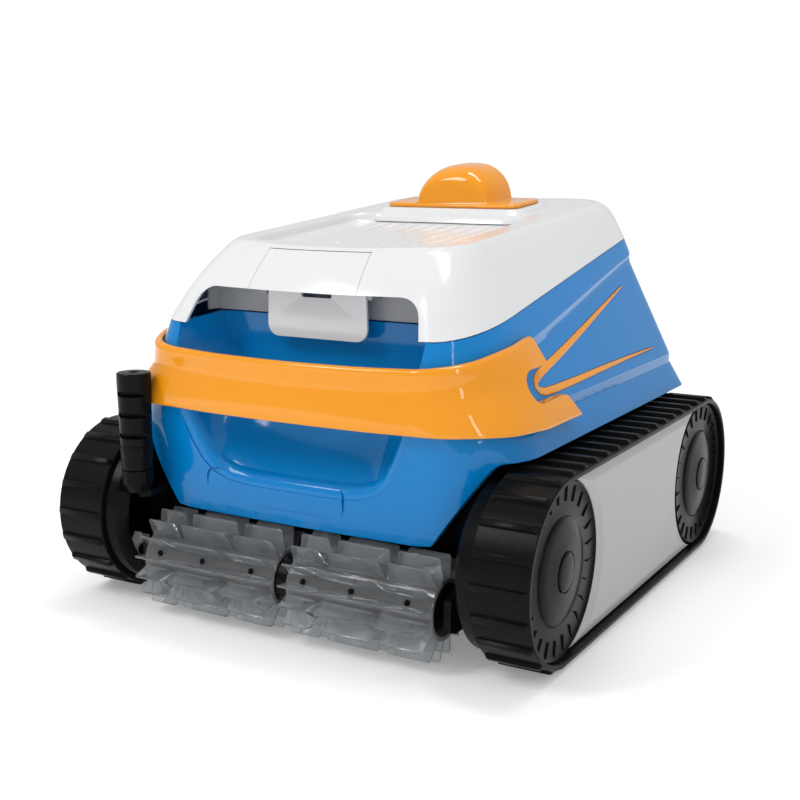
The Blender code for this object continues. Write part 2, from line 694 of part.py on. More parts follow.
def build_drive_gear(label, side):
    """The motor's output shaft and pinion, in mesh with the rear wheel's ring."""
    centre = (DRIVE_Y, AXLE_Z)
    gear = teeth(PINION_TEETH, PINION_R + TOOTH_TIP, PINION_R - TOOTH_ROOT, centre, math.pi)
    piece = add("drive_gear_" + label, "steel", prism(gear, "X", side * GEAR_X[0], side * GEAR_X[1]),
                (0, *centre))
    shaft = prism(circle(4.0, 16, centre), "X", side * 56.0, side * (GEAR_X[1] + 0.2))
    combine(piece, tool("drive_shaft_" + label, shaft), "UNION")


def build_brush(label, side, front_mesh):
    centre = (BRUSH_Y, BRUSH_Z)
    pivot = (0, *centre)
    core = [(BRUSH_X[0], 5.15), (BRUSH_X[0], 20), (BRUSH_X[1], 20), (BRUSH_X[1], 5.0),
            (157.0, 5.0), (157.0, 3.0), (24, 3.0), (24, 5.15)]
    add("brush_core_" + label, "black",
        turned([(side * x, r) for x, r in core], "X", centre, 20), pivot)
    gear = teeth(PINION_TEETH, PINION_R + TOOTH_TIP, PINION_R - TOOTH_ROOT, centre, front_mesh)
    piece = add("brush_gear_" + label, "white",
                prism(gear, "X", side * GEAR_X[0], side * GEAR_X[1]), pivot)
    plug = prism(circle(2.7, 12, centre), "X", side * 140.0, side * (GEAR_X[0] + 1))
    combine(piece, tool("gear_plug_" + label, plug), "UNION")

    sleeve = add("brush_sleeve_" + label, "smoke",
                 prism(circle(BRUSH_HUB_R, 30, centre), "X", side * (BRUSH_X[0] + 0.5),
                       side * (BRUSH_X[1] - 0.5)), pivot)
    bands = ((8.0, 32.0, 0.0), (43.0, 88.0, 0.5), (98.0, 133.0, 0.0))
    for number, (start, end, phase) in enumerate(bands):
        star = blades(centre, phase)
        helper = tool("blades_%s_%d" % (label, number), prism(star, "X", side * start, side * end))
        combine(sleeve, helper, "UNION")
    bore = prism(circle(20.3, 20, centre), "X", -200, 200)
    combine(sleeve, tool("sleeve_bore_" + label, bore))


def blades(centre, phase):
    """Thin straight blades round the hub, as one star outline."""
    outline = []
    step = math.tau / BRUSH_BLADES
    half = 0.9
    for number in range(BRUSH_BLADES):
        angle = (number + phase) * step
        for radius, across in ((BRUSH_HUB_R - 1.0, -1.3), (BRUSH_R, -half), (BRUSH_R, half),
                               (BRUSH_HUB_R - 1.0, 1.3)):
            outline.append((centre[0] + radius * math.cos(angle) - across * math.sin(angle),
                            centre[1] + radius * math.sin(angle) + across * math.cos(angle)))
    return outline


# ---------------------------------------------------------------- chassis and insides

def build_chassis():
    side_gap = FRAME_X[0] - 0.4
    tray = [(-157, 27), (198, 27), (198, 146), (195, 146), (195, 30.5), (-153.5, 30.5),
            (-153.5, 104), (-157, 104)]
    chassis = add("chassis_tray", "black", prism(tray, "X", -side_gap, side_gap))
    mouths = [mirrored(box((20, 112), (-72, -46), (20, 40)), side) for side in (1, -1)]
    combine(chassis, tool("inlet_mouths", merged(*mouths)))

    beam = [(-137, 92), (137, 92), (148, 100), (148, 144), (122, 144), (122, 108), (-122, 108),
            (-122, 144), (-148, 144), (-148, 100)]
    add("front_beam", "black", prism(beam, "Y", -169.8, -165.4))

    disc = circle(21, 24, (BRUSH_Y, BRUSH_Z))
    support = add("brush_support", "black", prism(disc, "X", -4.5, 4.5))
    arm = prism([(BRUSH_Y + 8, 55), (-158, 34), (-158, 82), (-170, 84), (BRUSH_Y, 60)],
                "X", -4.0, 4.0)
    combine(support, tool("support_arm", arm), "UNION")
    stub = prism(circle(5.0, 16, (BRUSH_Y, BRUSH_Z)), "X", -22.0, 22.0)
    combine(support, tool("support_stub", stub), "UNION")


def ring_wall(outline_out, outline_in, low, high):
    """An upright sleeve between two outlines of equal length."""
    rings = [[(x, y, z) for x, y in outline]
             for outline, z in ((outline_out, low), (outline_out, high), (outline_in, high),
                                (outline_in, low))]
    return skin(rings, closed=True)


def build_filter():
    centre = (0, -60.5)
    basket = add("filter_basket", "dark_grey",
                 prism(rounded(99, 80, 14, 3, centre), "Z", 58.0, 232.0))
    combine(basket, tool("basket_inside",
                         prism(rounded(96.5, 77.5, 11.5, 3, centre), "Z", 61.0, 240.0)))
    windows = [box((-84, -6), (-200, 80), (74, 220)), box((6, 84), (-200, 80), (74, 220)),
               box((-150, 150), (-126, -66), (74, 220)), box((-150, 150), (-55, 5), (74, 220))]
    for number, window in enumerate(windows):
        combine(basket, tool("window_%d" % number, window))
    inlets = [mirrored(box((20, 84), (-76, -46), (50, 70)), side) for side in (1, -1)]
    combine(basket, tool("basket_inlets", merged(*inlets)))
    add("filter_mesh", "mesh", ring_wall(rounded(96.0, 77.0, 11.0, 3, centre),
                                         rounded(95.2, 76.2, 10.2, 3, centre), 62.0, 229.0))
    cover = add("filter_cover", "dark_grey",
                prism(rounded(99, 80, 14, 3, centre), "Z", 232.4, 235.4))
    combine(cover, tool("cover_opening", prism(rounded(70, 52, 10, 3, centre), "Z", 225, 245)))
    bail = [(-82, 235.8), (-75, 235.8), (-66, 252), (66, 252), (75, 235.8), (82, 235.8),
            (71, 258), (-71, 258)]
    add("filter_handle", "orange", prism(bail, "Y", -64.5, -56.5))


def build_inlet_flaps():
    for label, side in (("left", -1), ("right", 1)):
        y = -43.0
        outline = [(y + 2.5 * math.cos(a), 34.0 + 2.5 * math.sin(a))
                   for a in [math.radians(120 - 30 * i) for i in range(9)]]
        outline += [(-74.0, 31.1), (-74.0, 32.9), (y - 3, 32.9)]
        flap = add("inlet_flap_" + label, "black", mirrored(prism(outline, "X", 17, 115), side),
                   (0, y, 34.0))
        hole = prism(circle(1.3, 12, (y, 34.0)), "X", -130, 130)
        combine(flap, tool("flap_bore_" + label, hole))
        add("flap_pin_" + label, "steel",
            mirrored(prism(circle(1.2, 12, (y, 34.0)), "X", 12, 120), side))


def build_motor():
    centre = (0, 84)
    block = add("motor_block", "dark_grey", prism(rounded(60, 52, 10, 3, centre), "Z", 33.0, 158.0))
    bores = [prism(circle(4.15, 16, (DRIVE_Y, AXLE_Z)), "X", *sorted((side * 55.0, side * 70.0)))
             for side in (1, -1)]
    combine(block, tool("motor_bores", merged(*bores)))
    add("motor_seal", "rubber", ring_wall(rounded(59, 51, 9, 3, centre),
                                          rounded(54, 46, 6, 3, centre), 158.3, 160.3))
    cover = add("motor_cover", "dark_grey",
                prism(rounded(62, 54, 12, 3, centre), "Z", 160.6, 172.0))
    combine(cover, tool("cover_bore", prism(circle(4.1, 16, (0, PUMP_Y)), "Z", 162.0, 180.0)))

    legs = [prism(circle(3.0, 10, (x, PUMP_Y + y)), "Z", 172.3, 190.0)
            for x, y in ((34.0, 20.0), (-34.0, 20.0), (34.0, -20.0), (-34.0, -20.0))]
    duct = add("pump_duct", "black",
               turned([(186.0, DUCT_R), (186.0, 41.5), (210.0, 41.5), (210.0, 38.0),
                       (292.0, 38.0), (292.0, DUCT_R)], "Z", (0, PUMP_Y), 24))
    for number, leg in enumerate(legs):
        combine(duct, tool("duct_leg_%d" % number, leg), "UNION")

    rings = []
    for step in range(5):
        turn = math.radians(22 * step)
        outline = []
        for blade in range(4):
            angle = turn + blade * math.pi / 2
            for offset, radius in ((-0.09, 9.0), (-0.04, 33.5), (0.04, 33.5), (0.09, 9.0)):
                swing = angle + offset * (1.0 if radius < 10 else 0.8)
                outline.append((radius * math.cos(swing), PUMP_Y + radius * math.sin(swing),
                                200.0 + 6.0 * step))
        rings.append(outline)
    pump = add("impeller", "black", skin(rings), (0, PUMP_Y, 200.0))
    combine(pump, tool("impeller_hub", prism(circle(9.5, 20, (0, PUMP_Y)), "Z", 198.0, 227.0)),
            "UNION")
    combine(pump, tool("impeller_shaft", prism(circle(4.0, 16, (0, PUMP_Y)), "Z", 163.0, 199.0)),
            "UNION")


def build_cable_entry():
    """A gland on an arm from the front beam, and the ribbed boot that stands in it."""
    centre = (-138.0, -222.0)
    gland = add("cable_gland", "black",
                turned([(99.0, 4.0), (101.0, 9.0), (108.0, 12.5), (119.0, 12.5), (119.0, 8.5),
                        (112.0, 8.5)], "Z", centre, 20, closed=False))
    arm = prism([(-131, -170.2), (-131, -215), (-137.5, -222), (-144, -215), (-144, -170.2)],
                "Z", 95.0, 100.5)
    combine(gland, tool("gland_arm", arm), "UNION")
    profile = [(112.4, 4.0), (112.4, 8.0), (119.4, 8.0), (119.4, 12.0), (128, 12.4), (134, 13.0),
               (138, 12.6), (141, 10.8), (144, 12.7), (158, 12.9), (161, 11.2), (164, 13.0),
               (178, 13.4), (181, 11.6), (184, 13.5), (197, 13.8), (198.5, 12.5), (198.5, 4.0)]
    add("cable_boot", "rubber", turned(profile, "Z", centre, 16))


clear_scene()
build_body_shell()
build_lid()
build_lid_fittings()
build_lid_hinges()
build_handle()
build_stripes()
build_running_gear()
build_chassis()
build_filter()
build_inlet_flaps()
build_motor()
build_cable_entry()
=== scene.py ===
"""Visible model of a tracked robotic pool cleaner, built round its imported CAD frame."""

import json
import math

import bmesh
import bpy
from bpy.props import FloatProperty, FloatVectorProperty, IntProperty, PointerProperty
from mathutils import Matrix, Vector


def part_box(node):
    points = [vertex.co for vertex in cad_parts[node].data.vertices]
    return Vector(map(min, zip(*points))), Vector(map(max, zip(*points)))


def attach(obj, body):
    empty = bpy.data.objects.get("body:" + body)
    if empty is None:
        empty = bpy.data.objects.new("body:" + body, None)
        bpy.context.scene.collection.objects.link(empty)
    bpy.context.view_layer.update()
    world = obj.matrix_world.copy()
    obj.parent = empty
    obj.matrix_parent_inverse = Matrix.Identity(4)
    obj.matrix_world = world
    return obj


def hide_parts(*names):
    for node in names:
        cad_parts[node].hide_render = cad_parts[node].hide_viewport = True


bl_info = {
    "name": "Pool Cleaner Maker",
    "version": (1, 0, 0),
    "blender": (4, 5, 0),
    "location": "View3D > Sidebar > Pool Cleaner",
    "description": "Builds the looks of a tracked pool cleaner on its CAD frame",
    "category": "Object",
}

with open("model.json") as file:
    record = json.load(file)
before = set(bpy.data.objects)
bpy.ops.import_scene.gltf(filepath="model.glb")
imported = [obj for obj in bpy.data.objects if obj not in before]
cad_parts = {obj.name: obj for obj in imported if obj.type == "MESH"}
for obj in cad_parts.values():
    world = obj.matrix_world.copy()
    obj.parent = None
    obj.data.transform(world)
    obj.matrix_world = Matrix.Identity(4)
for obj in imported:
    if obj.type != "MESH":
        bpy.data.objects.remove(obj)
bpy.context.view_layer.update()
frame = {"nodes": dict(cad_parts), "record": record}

MM = 0.001
WHEEL_LOW, WHEEL_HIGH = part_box("wheel_front_right")
WHEELBASE = 328.0
AXLE_Y = WHEELBASE / 2
AXLE_Z = (WHEEL_LOW.z + WHEEL_HIGH.z) / 2 / MM
SHIFT_Y = (WHEEL_LOW.y + WHEEL_HIGH.y) / 2 / MM + AXLE_Y   # the CAD frame's middle
BRUSH_LOW, BRUSH_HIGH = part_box("brush_core_right")
BRUSH_Y = (BRUSH_LOW.y + BRUSH_HIGH.y) / 2 / MM - SHIFT_Y
BRUSH_Z = (BRUSH_LOW.z + BRUSH_HIGH.z) / 2 / MM

SEAM_Z = 265.5
SEAM_SLOPE = 0.15
ROOF_Z = 312.0
ROOF_SLOPE = 0.084
SKIRT_Z = 150.5
APRON_Z = 85.0
APRON_HALF = 117.0
APRON_RISE = 1.43
APRON_BLEND = 7.0
PUMP_Y = 82.0
PEDESTAL = 4.6
LATCH_Y = -161.0
LATCH_Z = 266.0
SIDES = (("left", -1), ("right", 1))


# ---------------------------------------------------------------- settings

class CleanerColours(bpy.types.PropertyGroup):
    body: FloatVectorProperty(name="Body", description="Moulded body shell", subtype="COLOR",
                              size=3, default=(0.001, 0.20, 0.55), min=0, max=1)
    lid: FloatVectorProperty(name="Lid", description="Hinged lid", subtype="COLOR", size=3,
                             default=(0.74, 0.75, 0.76), min=0, max=1)
    trim: FloatVectorProperty(name="Trim", description="Handle, stripes and hood",
                              subtype="COLOR", size=3, default=(0.84, 0.31, 0.010), min=0, max=1)
    cover: FloatVectorProperty(name="Side cover", description="Panels between the wheels",
                               subtype="COLOR", size=3, default=(0.38, 0.39, 0.40), min=0, max=1)
    smoke: FloatVectorProperty(name="Brush", description="Flexible brush blades",
                               subtype="COLOR", size=3, default=(0.78, 0.80, 0.82), min=0, max=1)


class CleanerSizes(bpy.types.PropertyGroup):
    treads: IntProperty(name="Treads", description="Bars on each track", default=48, min=12,
                        max=80)
    tread_height: FloatProperty(name="Tread height", description="How far a bar stands up",
                                default=0.003, min=0.001, max=0.006, unit="LENGTH")
    wheel_ribs: IntProperty(name="Wheel ribs", description="Short ribs round each wheel face",
                            default=24, min=6, max=60)
    blades: IntProperty(name="Blades", description="Blades round each brush band", default=15,
                        min=6, max=30)
    lid_ribs: IntProperty(name="Lid ribs", description="Fine ribs in the lid's dish", default=9,
                          min=0, max=20)


# ---------------------------------------------------------------- materials

CLOUD_SCALE = 9.0            # noise cells per metre of the slow change of shade
WEAR_SCALE = 60.0            # and of the uneven gloss
COAT_ROUGHNESS = 0.08
GRAIN_DEPTH = 0.0003


def add_node(tree, kind, **values):
    """A new node with its inputs set by name, where an underscore stands for a space."""
    node = tree.nodes.new(kind)
    for name, value in values.items():
        node.inputs[name.replace("_", " ")].default_value = value
    return node


def object_place(tree):
    """The tree's object coordinates."""
    found = next(node for node in tree.nodes if node.bl_idname == "ShaderNodeTexCoord")
    return found.outputs["Object"]


def texture(tree, kind, **values):
    """A noise or wave texture in object space."""
    node = add_node(tree, kind, **values)
    tree.links.new(object_place(tree), node.inputs["Vector"])
    return node


def noise(tree, scale, detail):
    return texture(tree, "ShaderNodeTexNoise", Scale=scale, Detail=detail).outputs["Fac"]


def bump(tree, height, strength, distance):
    """Raise the surface where the height texture is bright."""
    node = add_node(tree, "ShaderNodeBump", Strength=strength, Distance=distance)
    tree.links.new(height, node.inputs["Height"])
    tree.links.new(node.outputs["Normal"], tree.nodes["Principled BSDF"].inputs["Normal"])


def node_material(name, colour, roughness, metallic=0.0, grain=0.0, grain_size=0.002,
                  shade=0.05, coat=0.0, scuff=0.05, specular=0.5, ior=1.5):
    """A Principled finish with fine grain, cloudy shade and uneven gloss, in object space."""
    material = bpy.data.materials.new(name)
    material.use_nodes = True
    tree = material.node_tree
    shader = tree.nodes["Principled BSDF"]
    shader.inputs["Metallic"].default_value = metallic
    shader.inputs["Coat Weight"].default_value = coat
    shader.inputs["Coat Roughness"].default_value = COAT_ROUGHNESS
    shader.inputs["Specular IOR Level"].default_value = specular
    shader.inputs["IOR"].default_value = ior
    tree.nodes.new("ShaderNodeTexCoord")
    tint = tree.nodes.new("ShaderNodeMix")
    tint.data_type = "RGBA"
    tint.inputs[6].default_value = (*[c * (1 - shade) for c in colour], 1)
    tint.inputs[7].default_value = (*[min(1.0, c * (1 + shade)) for c in colour], 1)
    tree.links.new(noise(tree, CLOUD_SCALE, 4.0), tint.inputs[0])
    tree.links.new(tint.outputs[2], shader.inputs["Base Color"])
    gloss = add_node(tree, "ShaderNodeMapRange", To_Min=max(0.02, roughness - scuff),
                     To_Max=roughness + scuff)
    tree.links.new(noise(tree, WEAR_SCALE, 6.0), gloss.inputs["Value"])
    tree.links.new(gloss.outputs["Result"], shader.inputs["Roughness"])
    if grain:
        bump(tree, noise(tree, 1.0 / grain_size, 2.0), grain, GRAIN_DEPTH)
    return material


def turned_steel(name):
    """Steel with fine lathe rings along X."""
    material = node_material(name, (0.60, 0.60, 0.61), 0.26, metallic=1.0, shade=0.08)
    tree = material.node_tree
    rings = texture(tree, "ShaderNodeTexWave", Scale=700.0, Distortion=1.5)
    bump(tree, rings.outputs["Fac"], 0.15, 0.0002)
    return material


def woven_mesh(name):
    """Fine filter cloth: two crossed sets of threads."""
    material = node_material(name, (0.30, 0.32, 0.33), 0.75, shade=0.12)
    tree = material.node_tree
    crossed = tree.nodes.new("ShaderNodeMath")
    crossed.operation = "MAXIMUM"
    for number, direction in enumerate(("X", "Z")):
        threads = texture(tree, "ShaderNodeTexWave", Scale=380.0)
        threads.bands_direction = direction
        tree.links.new(threads.outputs["Fac"], crossed.inputs[number])
    bump(tree, crossed.outputs[0], 0.7, 0.0004)
    return material


def smoky_rubber(name, colour):
    """Half-clear flexible PVC."""
    material = node_material(name, colour, 0.07, shade=0.10, grain=0.10, grain_size=0.004,
                             ior=1.42)
    shader = material.node_tree.nodes["Principled BSDF"]
    shader.inputs["Transmission Weight"].default_value = 0.90
    return material


def finish(slot):
    """The finish of one material slot of the record, made once."""
    name = "cleaner_" + slot
    if name in bpy.data.materials:
        return bpy.data.materials[name]
    colours = bpy.context.scene.cleaner_colours
    if slot == "steel":
        return turned_steel(name)
    if slot == "mesh":
        return woven_mesh(name)
    if slot == "smoke":
        return smoky_rubber(name, tuple(colours.smoke))
    kinds = {
        "blue": dict(colour=tuple(colours.body), roughness=0.09, grain=0.04, coat=0.1,
                     specular=0.26, scuff=0.02),
        "white": dict(colour=tuple(colours.lid), roughness=0.18, grain=0.05, coat=0.4,
                      shade=0.015),
        "orange": dict(colour=tuple(colours.trim), roughness=0.09, grain=0.04, coat=0.2,
                       shade=0.04, specular=0.36, scuff=0.02),
        # The grey finish also colours the wall behind the latch, where it is painted shade.
        "grey": dict(colour=tuple(colours.cover), roughness=0.42, grain=0.35,
                     grain_size=0.0012, shade=0.03),
        "dark_grey": dict(colour=(0.085, 0.088, 0.092), roughness=0.45, grain=0.4,
                          grain_size=0.001, shade=0.08),
        "black": dict(colour=(0.004, 0.004, 0.0045), roughness=0.22, grain=0.15,
                      grain_size=0.0012, shade=0.2, ior=1.17),
        "rubber": dict(colour=(0.005, 0.005, 0.005), roughness=0.28, grain=0.25,
                       grain_size=0.0015, shade=0.2, ior=1.17),
    }
    return node_material(name, **kinds[slot])


# ---------------------------------------------------------------- mesh helpers

def in_metres(points, shift=0.0):
    return [(x * MM, (y + shift) * MM, z * MM) for x, y, z in points]


def welded(mesh, gap, flat=0.0):
    """Merge points closer than gap, drop faces thinner than flat, and face everything out."""
    shape = bmesh.new()
    shape.from_mesh(mesh)
    bmesh.ops.remove_doubles(shape, verts=shape.verts, dist=gap)
    if flat:
        bmesh.ops.dissolve_degenerate(shape, dist=flat, edges=shape.edges)
    bmesh.ops.recalc_face_normals(shape, faces=shape.faces)
    shape.to_mesh(mesh)
    shape.free()
    return mesh


def new_object(name, mesh):
    thing = bpy.data.objects.new(name, mesh)
    bpy.context.scene.collection.objects.link(thing)
    return thing


def solid(name, shape):
    """A closed piece from points in millimetres and faces."""
    points, faces = shape
    mesh = bpy.data.meshes.new(name)
    mesh.from_pydata(in_metres(points, SHIFT_Y), [], faces)
    return new_object(name, welded(mesh, 2e-6, 1e-6))


def bake(thing):
    """Replace an object's mesh with its evaluated one and drop its modifiers."""
    graph = bpy.context.evaluated_depsgraph_get()
    graph.update()
    mesh = bpy.data.meshes.new_from_object(thing.evaluated_get(graph),
                                           preserve_all_data_layers=True, depsgraph=graph)
    thing.modifiers.clear()
    thing.data = mesh
    return thing


def carve(thing, cutter, operation="DIFFERENCE"):
    """Join, cut or intersect with another closed shape, which is then removed."""
    helper = solid("cutter", cutter) if isinstance(cutter, tuple) else cutter
    step = thing.modifiers.new("carve", "BOOLEAN")
    step.operation = operation
    step.solver = "EXACT"
    step.object = helper
    bake(thing)
    bpy.data.objects.remove(helper, do_unlink=True)
    return thing


def bevelled(thing, width):
    """Round the edges sharper than 35 degrees, by a width in millimetres."""
    step = thing.modifiers.new("bevel", "BEVEL")
    step.width = width * MM
    step.segments = 2
    step.limit_method = "ANGLE"
    step.angle_limit = math.radians(35)
    step.harden_normals = False
    return bake(thing)


def dress(thing, slot, body, nodes=(), angle=32):
    """Shade, colour and seat a finished piece on its body."""
    thing.data.materials.clear()
    thing.data.materials.append(finish(slot))
    thing.data.polygons.foreach_set("material_index", [0] * len(thing.data.polygons))
    thing.data.shade_smooth()
    thing.data.set_sharp_from_angle(angle=math.radians(angle))
    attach(thing, body)
    if nodes:
        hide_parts(*nodes)
    return thing


def skin(rings, closed=False, capped=True):
    """Join rings of equal length with quads."""
    count = len(rings[0])
    points = [p for ring in rings for p in ring]
    faces = []
    pairs = list(zip(range(len(rings) - 1), range(1, len(rings))))
    if closed:
        pairs.append((len(rings) - 1, 0))
    for low, high in pairs:
        for i in range(count):
            j = (i + 1) % count
            faces.append((low * count + i, low * count + j, high * count + j, high * count + i))
    if capped and not closed:
        faces.append(tuple(range(count)))
        faces.append(tuple((len(rings) - 1) * count + i for i in range(count)))
    return points, faces


def place(axis, along, first, second):
    point = [first, second]
    point.insert("XYZ".index(axis), along)
    return tuple(point)


def prism(outline, axis, start, end):
    return skin([[place(axis, at, a, b) for a, b in outline] for at in (start, end)])


def rounded(half_a, half_b, radius, steps=8, centre=(0, 0)):
    outline = []
    for quarter, (a, b) in enumerate(((1, 1), (-1, 1), (-1, -1), (1, -1))):
        for i in range(steps + 1):
            angle = math.radians(90 * (quarter + i / steps))
            outline.append((centre[0] + a * (half_a - radius) + radius * math.cos(angle),
                            centre[1] + b * (half_b - radius) + radius * math.sin(angle)))
    return outline


def circle(radius, count, centre=(0, 0)):
    return [(centre[0] + radius * math.cos(math.tau * i / count),
             centre[1] + radius * math.sin(math.tau * i / count)) for i in range(count)]


def turned(profile, axis, centre, count, closed=True):
    rings = [[place(axis, along, a, b) for a, b in circle(max(radius, 0.001), count, centre)]
             for along, radius in profile]
    return skin(rings, closed)


def mirrored(shape, side):
    points, faces = shape
    return [(side * x, y, z) for x, y, z in points], faces


def stacked(levels):
    """A tapered bar from rectangles: half width, half depth and height of each level."""
    return skin([[(s * a, t * b, z) for s, t in ((-1, -1), (1, -1), (1, 1), (-1, 1))]
                 for a, b, z in levels])


# ---------------------------------------------------------------- geometry nodes

def copies_tree():
    """Puts a copy of one part on each point of the host, turned by its stored angles."""
    if "place_copies" in bpy.data.node_groups:
        return bpy.data.node_groups["place_copies"]
    tree = bpy.data.node_groups.new("place_copies", "GeometryNodeTree")
    for socket, kind in (("Points", "Geometry"), ("Part", "Object"), ("Part Scale", "Float"),
                         ("Finish", "Material")):
        tree.interface.new_socket(socket, in_out="INPUT", socket_type="NodeSocket" + kind)
    tree.interface.new_socket("Geometry", in_out="OUTPUT", socket_type="NodeSocketGeometry")
    start, end = [tree.nodes.new("NodeGroup" + kind) for kind in ("Input", "Output")]
    part, turn, put, real, paint = [
        tree.nodes.new("GeometryNode" + kind)
        for kind in ("ObjectInfo", "InputNamedAttribute", "InstanceOnPoints",
                     "RealizeInstances", "SetMaterial")]
    turn.data_type = "FLOAT_VECTOR"
    turn.inputs["Name"].default_value = "turn"
    for source, output, target, socket in (
            (start, "Part", part, "Object"), (start, "Points", put, "Points"),
            (part, "Geometry", put, "Instance"), (turn, "Attribute", put, "Rotation"),
            (start, "Part Scale", put, "Scale"), (put, "Instances", real, "Geometry"),
            (real, "Geometry", paint, "Geometry"), (start, "Finish", paint, "Material"),
            (paint, "Geometry", end, "Geometry")):
        tree.links.new(source.outputs[output], target.inputs[socket])
    return tree


def repeat(name, part_shape, spots, slot, bevel=0.0):
    """Copies of one small part at (x, y, z) points in millimetres with XYZ turns."""
    points, faces = part_shape
    mesh = bpy.data.meshes.new("part")
    mesh.from_pydata(in_metres(points), [], faces)
    part = new_object("part", welded(mesh, 1e-7))
    if bevel:
        bevelled(part, bevel)
    host_mesh = bpy.data.meshes.new(name)
    host_mesh.from_pydata(in_metres([spot for spot, _ in spots], SHIFT_Y), [], [])
    turns = host_mesh.attributes.new("turn", "FLOAT_VECTOR", "POINT")
    for i, (_, turn) in enumerate(spots):
        turns.data[i].vector = turn
    host = new_object(name, host_mesh)
    tree = copies_tree()
    step = host.modifiers.new("copies", "NODES")
    step.node_group = tree
    sockets = {item.name: item.identifier for item in tree.interface.items_tree}
    step[sockets["Part"]] = part
    step[sockets["Part Scale"]] = 1.0
    step[sockets["Finish"]] = finish(slot)
    bake(host)
    bpy.data.objects.remove(part, do_unlink=True)
    return host


def join(first, *others):
    """One object from several, without bpy.ops."""
    shape = bmesh.new()
    for thing in (first, *others):
        shape.from_mesh(thing.data)
    shape.to_mesh(first.data)
    shape.free()
    for thing in others:
        bpy.data.objects.remove(thing, do_unlink=True)
    return first


# ---------------------------------------------------------------- body outlines

class Section:
    """One level of the body: a rounded outline in a plane that rises towards the rear."""

    def __init__(self, z, slope, half, shear, front, bow, rear, corner_x=103.0, corner_y=-115.0,
                 rear_corner=40.0):
        self.z, self.slope, self.half, self.shear = z, slope, half, shear
        self.front, self.bow, self.rear = front, bow, rear
        self.corner_x, self.corner_y, self.rear_corner = corner_x, corner_y, rear_corner

    def inset(self, amount):
        return Section(self.z, self.slope, self.half - amount, self.shear, self.front + amount,
                       self.bow, self.rear - amount, self.corner_x, self.corner_y,
                       self.rear_corner)

    def point(self, u):
        """The outline at column u, 0 at the middle of the front, 17 at the middle of the rear."""
        if u <= 3:
            x = self.corner_x * u / 3
            y = self.front + self.bow * (x / self.corner_x) ** 2
        elif u <= 9:
            angle = math.radians(15 * (u - 3))
            x = self.corner_x + (self.half - self.corner_x) * math.sin(angle) ** CORNER_POWER
            reach = self.corner_y - self.front - self.bow
            y = self.corner_y - reach * max(0.0, math.cos(angle)) ** CORNER_POWER
        elif u <= 12:
            x = self.half
            y = self.corner_y + (self.rear - self.rear_corner - self.corner_y) * (u - 9) / 3
        elif u <= 16:
            angle = math.radians(22.5 * (u - 12))
            x = self.half - self.rear_corner * (1 - math.cos(angle))
            y = self.rear - self.rear_corner * (1 - math.sin(angle))
        else:
            x = (self.half - self.rear_corner) * (17 - u)
            y = self.rear
        return x - self.shear * y * x / self.half, y, self.z + self.slope * y


CORNER_POWER = 0.92
BODY = [
    Section(150.5, 0.0, 180.0, 0.0, -198.0, 3.0, 232.0, 118.0, -138.0),
    Section(156.0, 0.0, 178.0, 0.0, -208.0, 4.0, 230.5, 115.0, -134.0),
    Section(200.0, 0.03, 162.0, 0.011, -211.0, 6.0, 218.0, 104.0, -117.0),
    Section(235.0, 0.10, 148.5, 0.038, -210.0, 8.0, 208.0),
    Section(SEAM_Z, SEAM_SLOPE, 137.0, 0.056, -204.0, 11.0, 200.0),
]
LID = [
    Section(SEAM_Z + 0.8, SEAM_SLOPE, 137.0, 0.056, -204.0, 11.0, 200.0),
    Section(290.0, 0.117, 125.0, 0.028, -190.0, 13.0, 194.0, 96.0, -112.0),
    Section(308.0, ROOF_SLOPE, 114.0, 0.0, -168.0, 16.0, 186.0, 82.0, -104.0),
    Section(ROOF_Z, ROOF_SLOPE, 108.0, 0.0, -160.0, 16.0, 179.0, 78.0, -104.0),
]
COLUMNS = ([3 * i / 10 for i in range(10)] + [3 + 6 * i / 30 for i in range(30)]
           + [9 + 3 * i / 30 for i in range(30)] + [12 + 4 * i / 16 for i in range(16)]
           + [16 + i / 8 for i in range(9)])


def around(half_ring):
    return half_ring + [(-x, y, z) for x, y, z in reversed(half_ring[1:-1])]


def ladder(u, amount=0.0, sections=BODY):
    """The wall's points at one column, from the foot up."""
    points = [section.inset(amount).point(u) for section in sections]
    if sections is BODY:
        x, y, z = points[0]
        if y < 0:
            rise = APRON_Z + max(0.0, abs(x) - APRON_HALF) * APRON_RISE
            near = max(0.0, APRON_BLEND - abs(z - rise))
            z = min(z, rise) - near * near / (4 * APRON_BLEND)
        points[0] = (x, y, z)
    return points


def along(points, z):
    """X and Y at a height on a ladder, on a smooth curve above its second rung."""
    for k in range(len(points) - 1):
        if z <= points[k + 1][2] or k == len(points) - 2:
            break
    low, high = points[k], points[k + 1]
    span = high[2] - low[2]
    t = (z - low[2]) / span
    if k == 0:
        return tuple(low[i] + (high[i] - low[i]) * t for i in (0, 1))
    result = []
    for i in (0, 1):
        slope = (high[i] - low[i]) / span
        before = slope
        after = slope
        if k > 1:
            prior = points[k - 1]
            before = (high[i] - prior[i]) / (high[2] - prior[2])
        if k < len(points) - 2:
            later = points[k + 2]
            after = (later[i] - low[i]) / (later[2] - low[2])
        h00, h10 = 2 * t ** 3 - 3 * t ** 2 + 1, t ** 3 - 2 * t ** 2 + t
        h01, h11 = -2 * t ** 3 + 3 * t ** 2, t ** 3 - t ** 2
        result.append(h00 * low[i] + h10 * span * before + h01 * high[i] + h11 * span * after)
    return tuple(result)


def outward(u):
    a, b = BODY[2].point(max(u - 0.02, 0)), BODY[2].point(min(u + 0.02, 17))
    length = math.hypot(b[0] - a[0], b[1] - a[1])
    return (b[1] - a[1]) / length, -(b[0] - a[0]) / length


def wall_point(u, z, out=0.0):
    x, y = along(ladder(u), z)
    nx, ny = outward(u)
    return x + out * nx, y + out * ny, z


def smooth(low, high, value):
    t = min(1.0, max(0.0, (value - low) / (high - low)))
    return t * t * (3 - 2 * t)


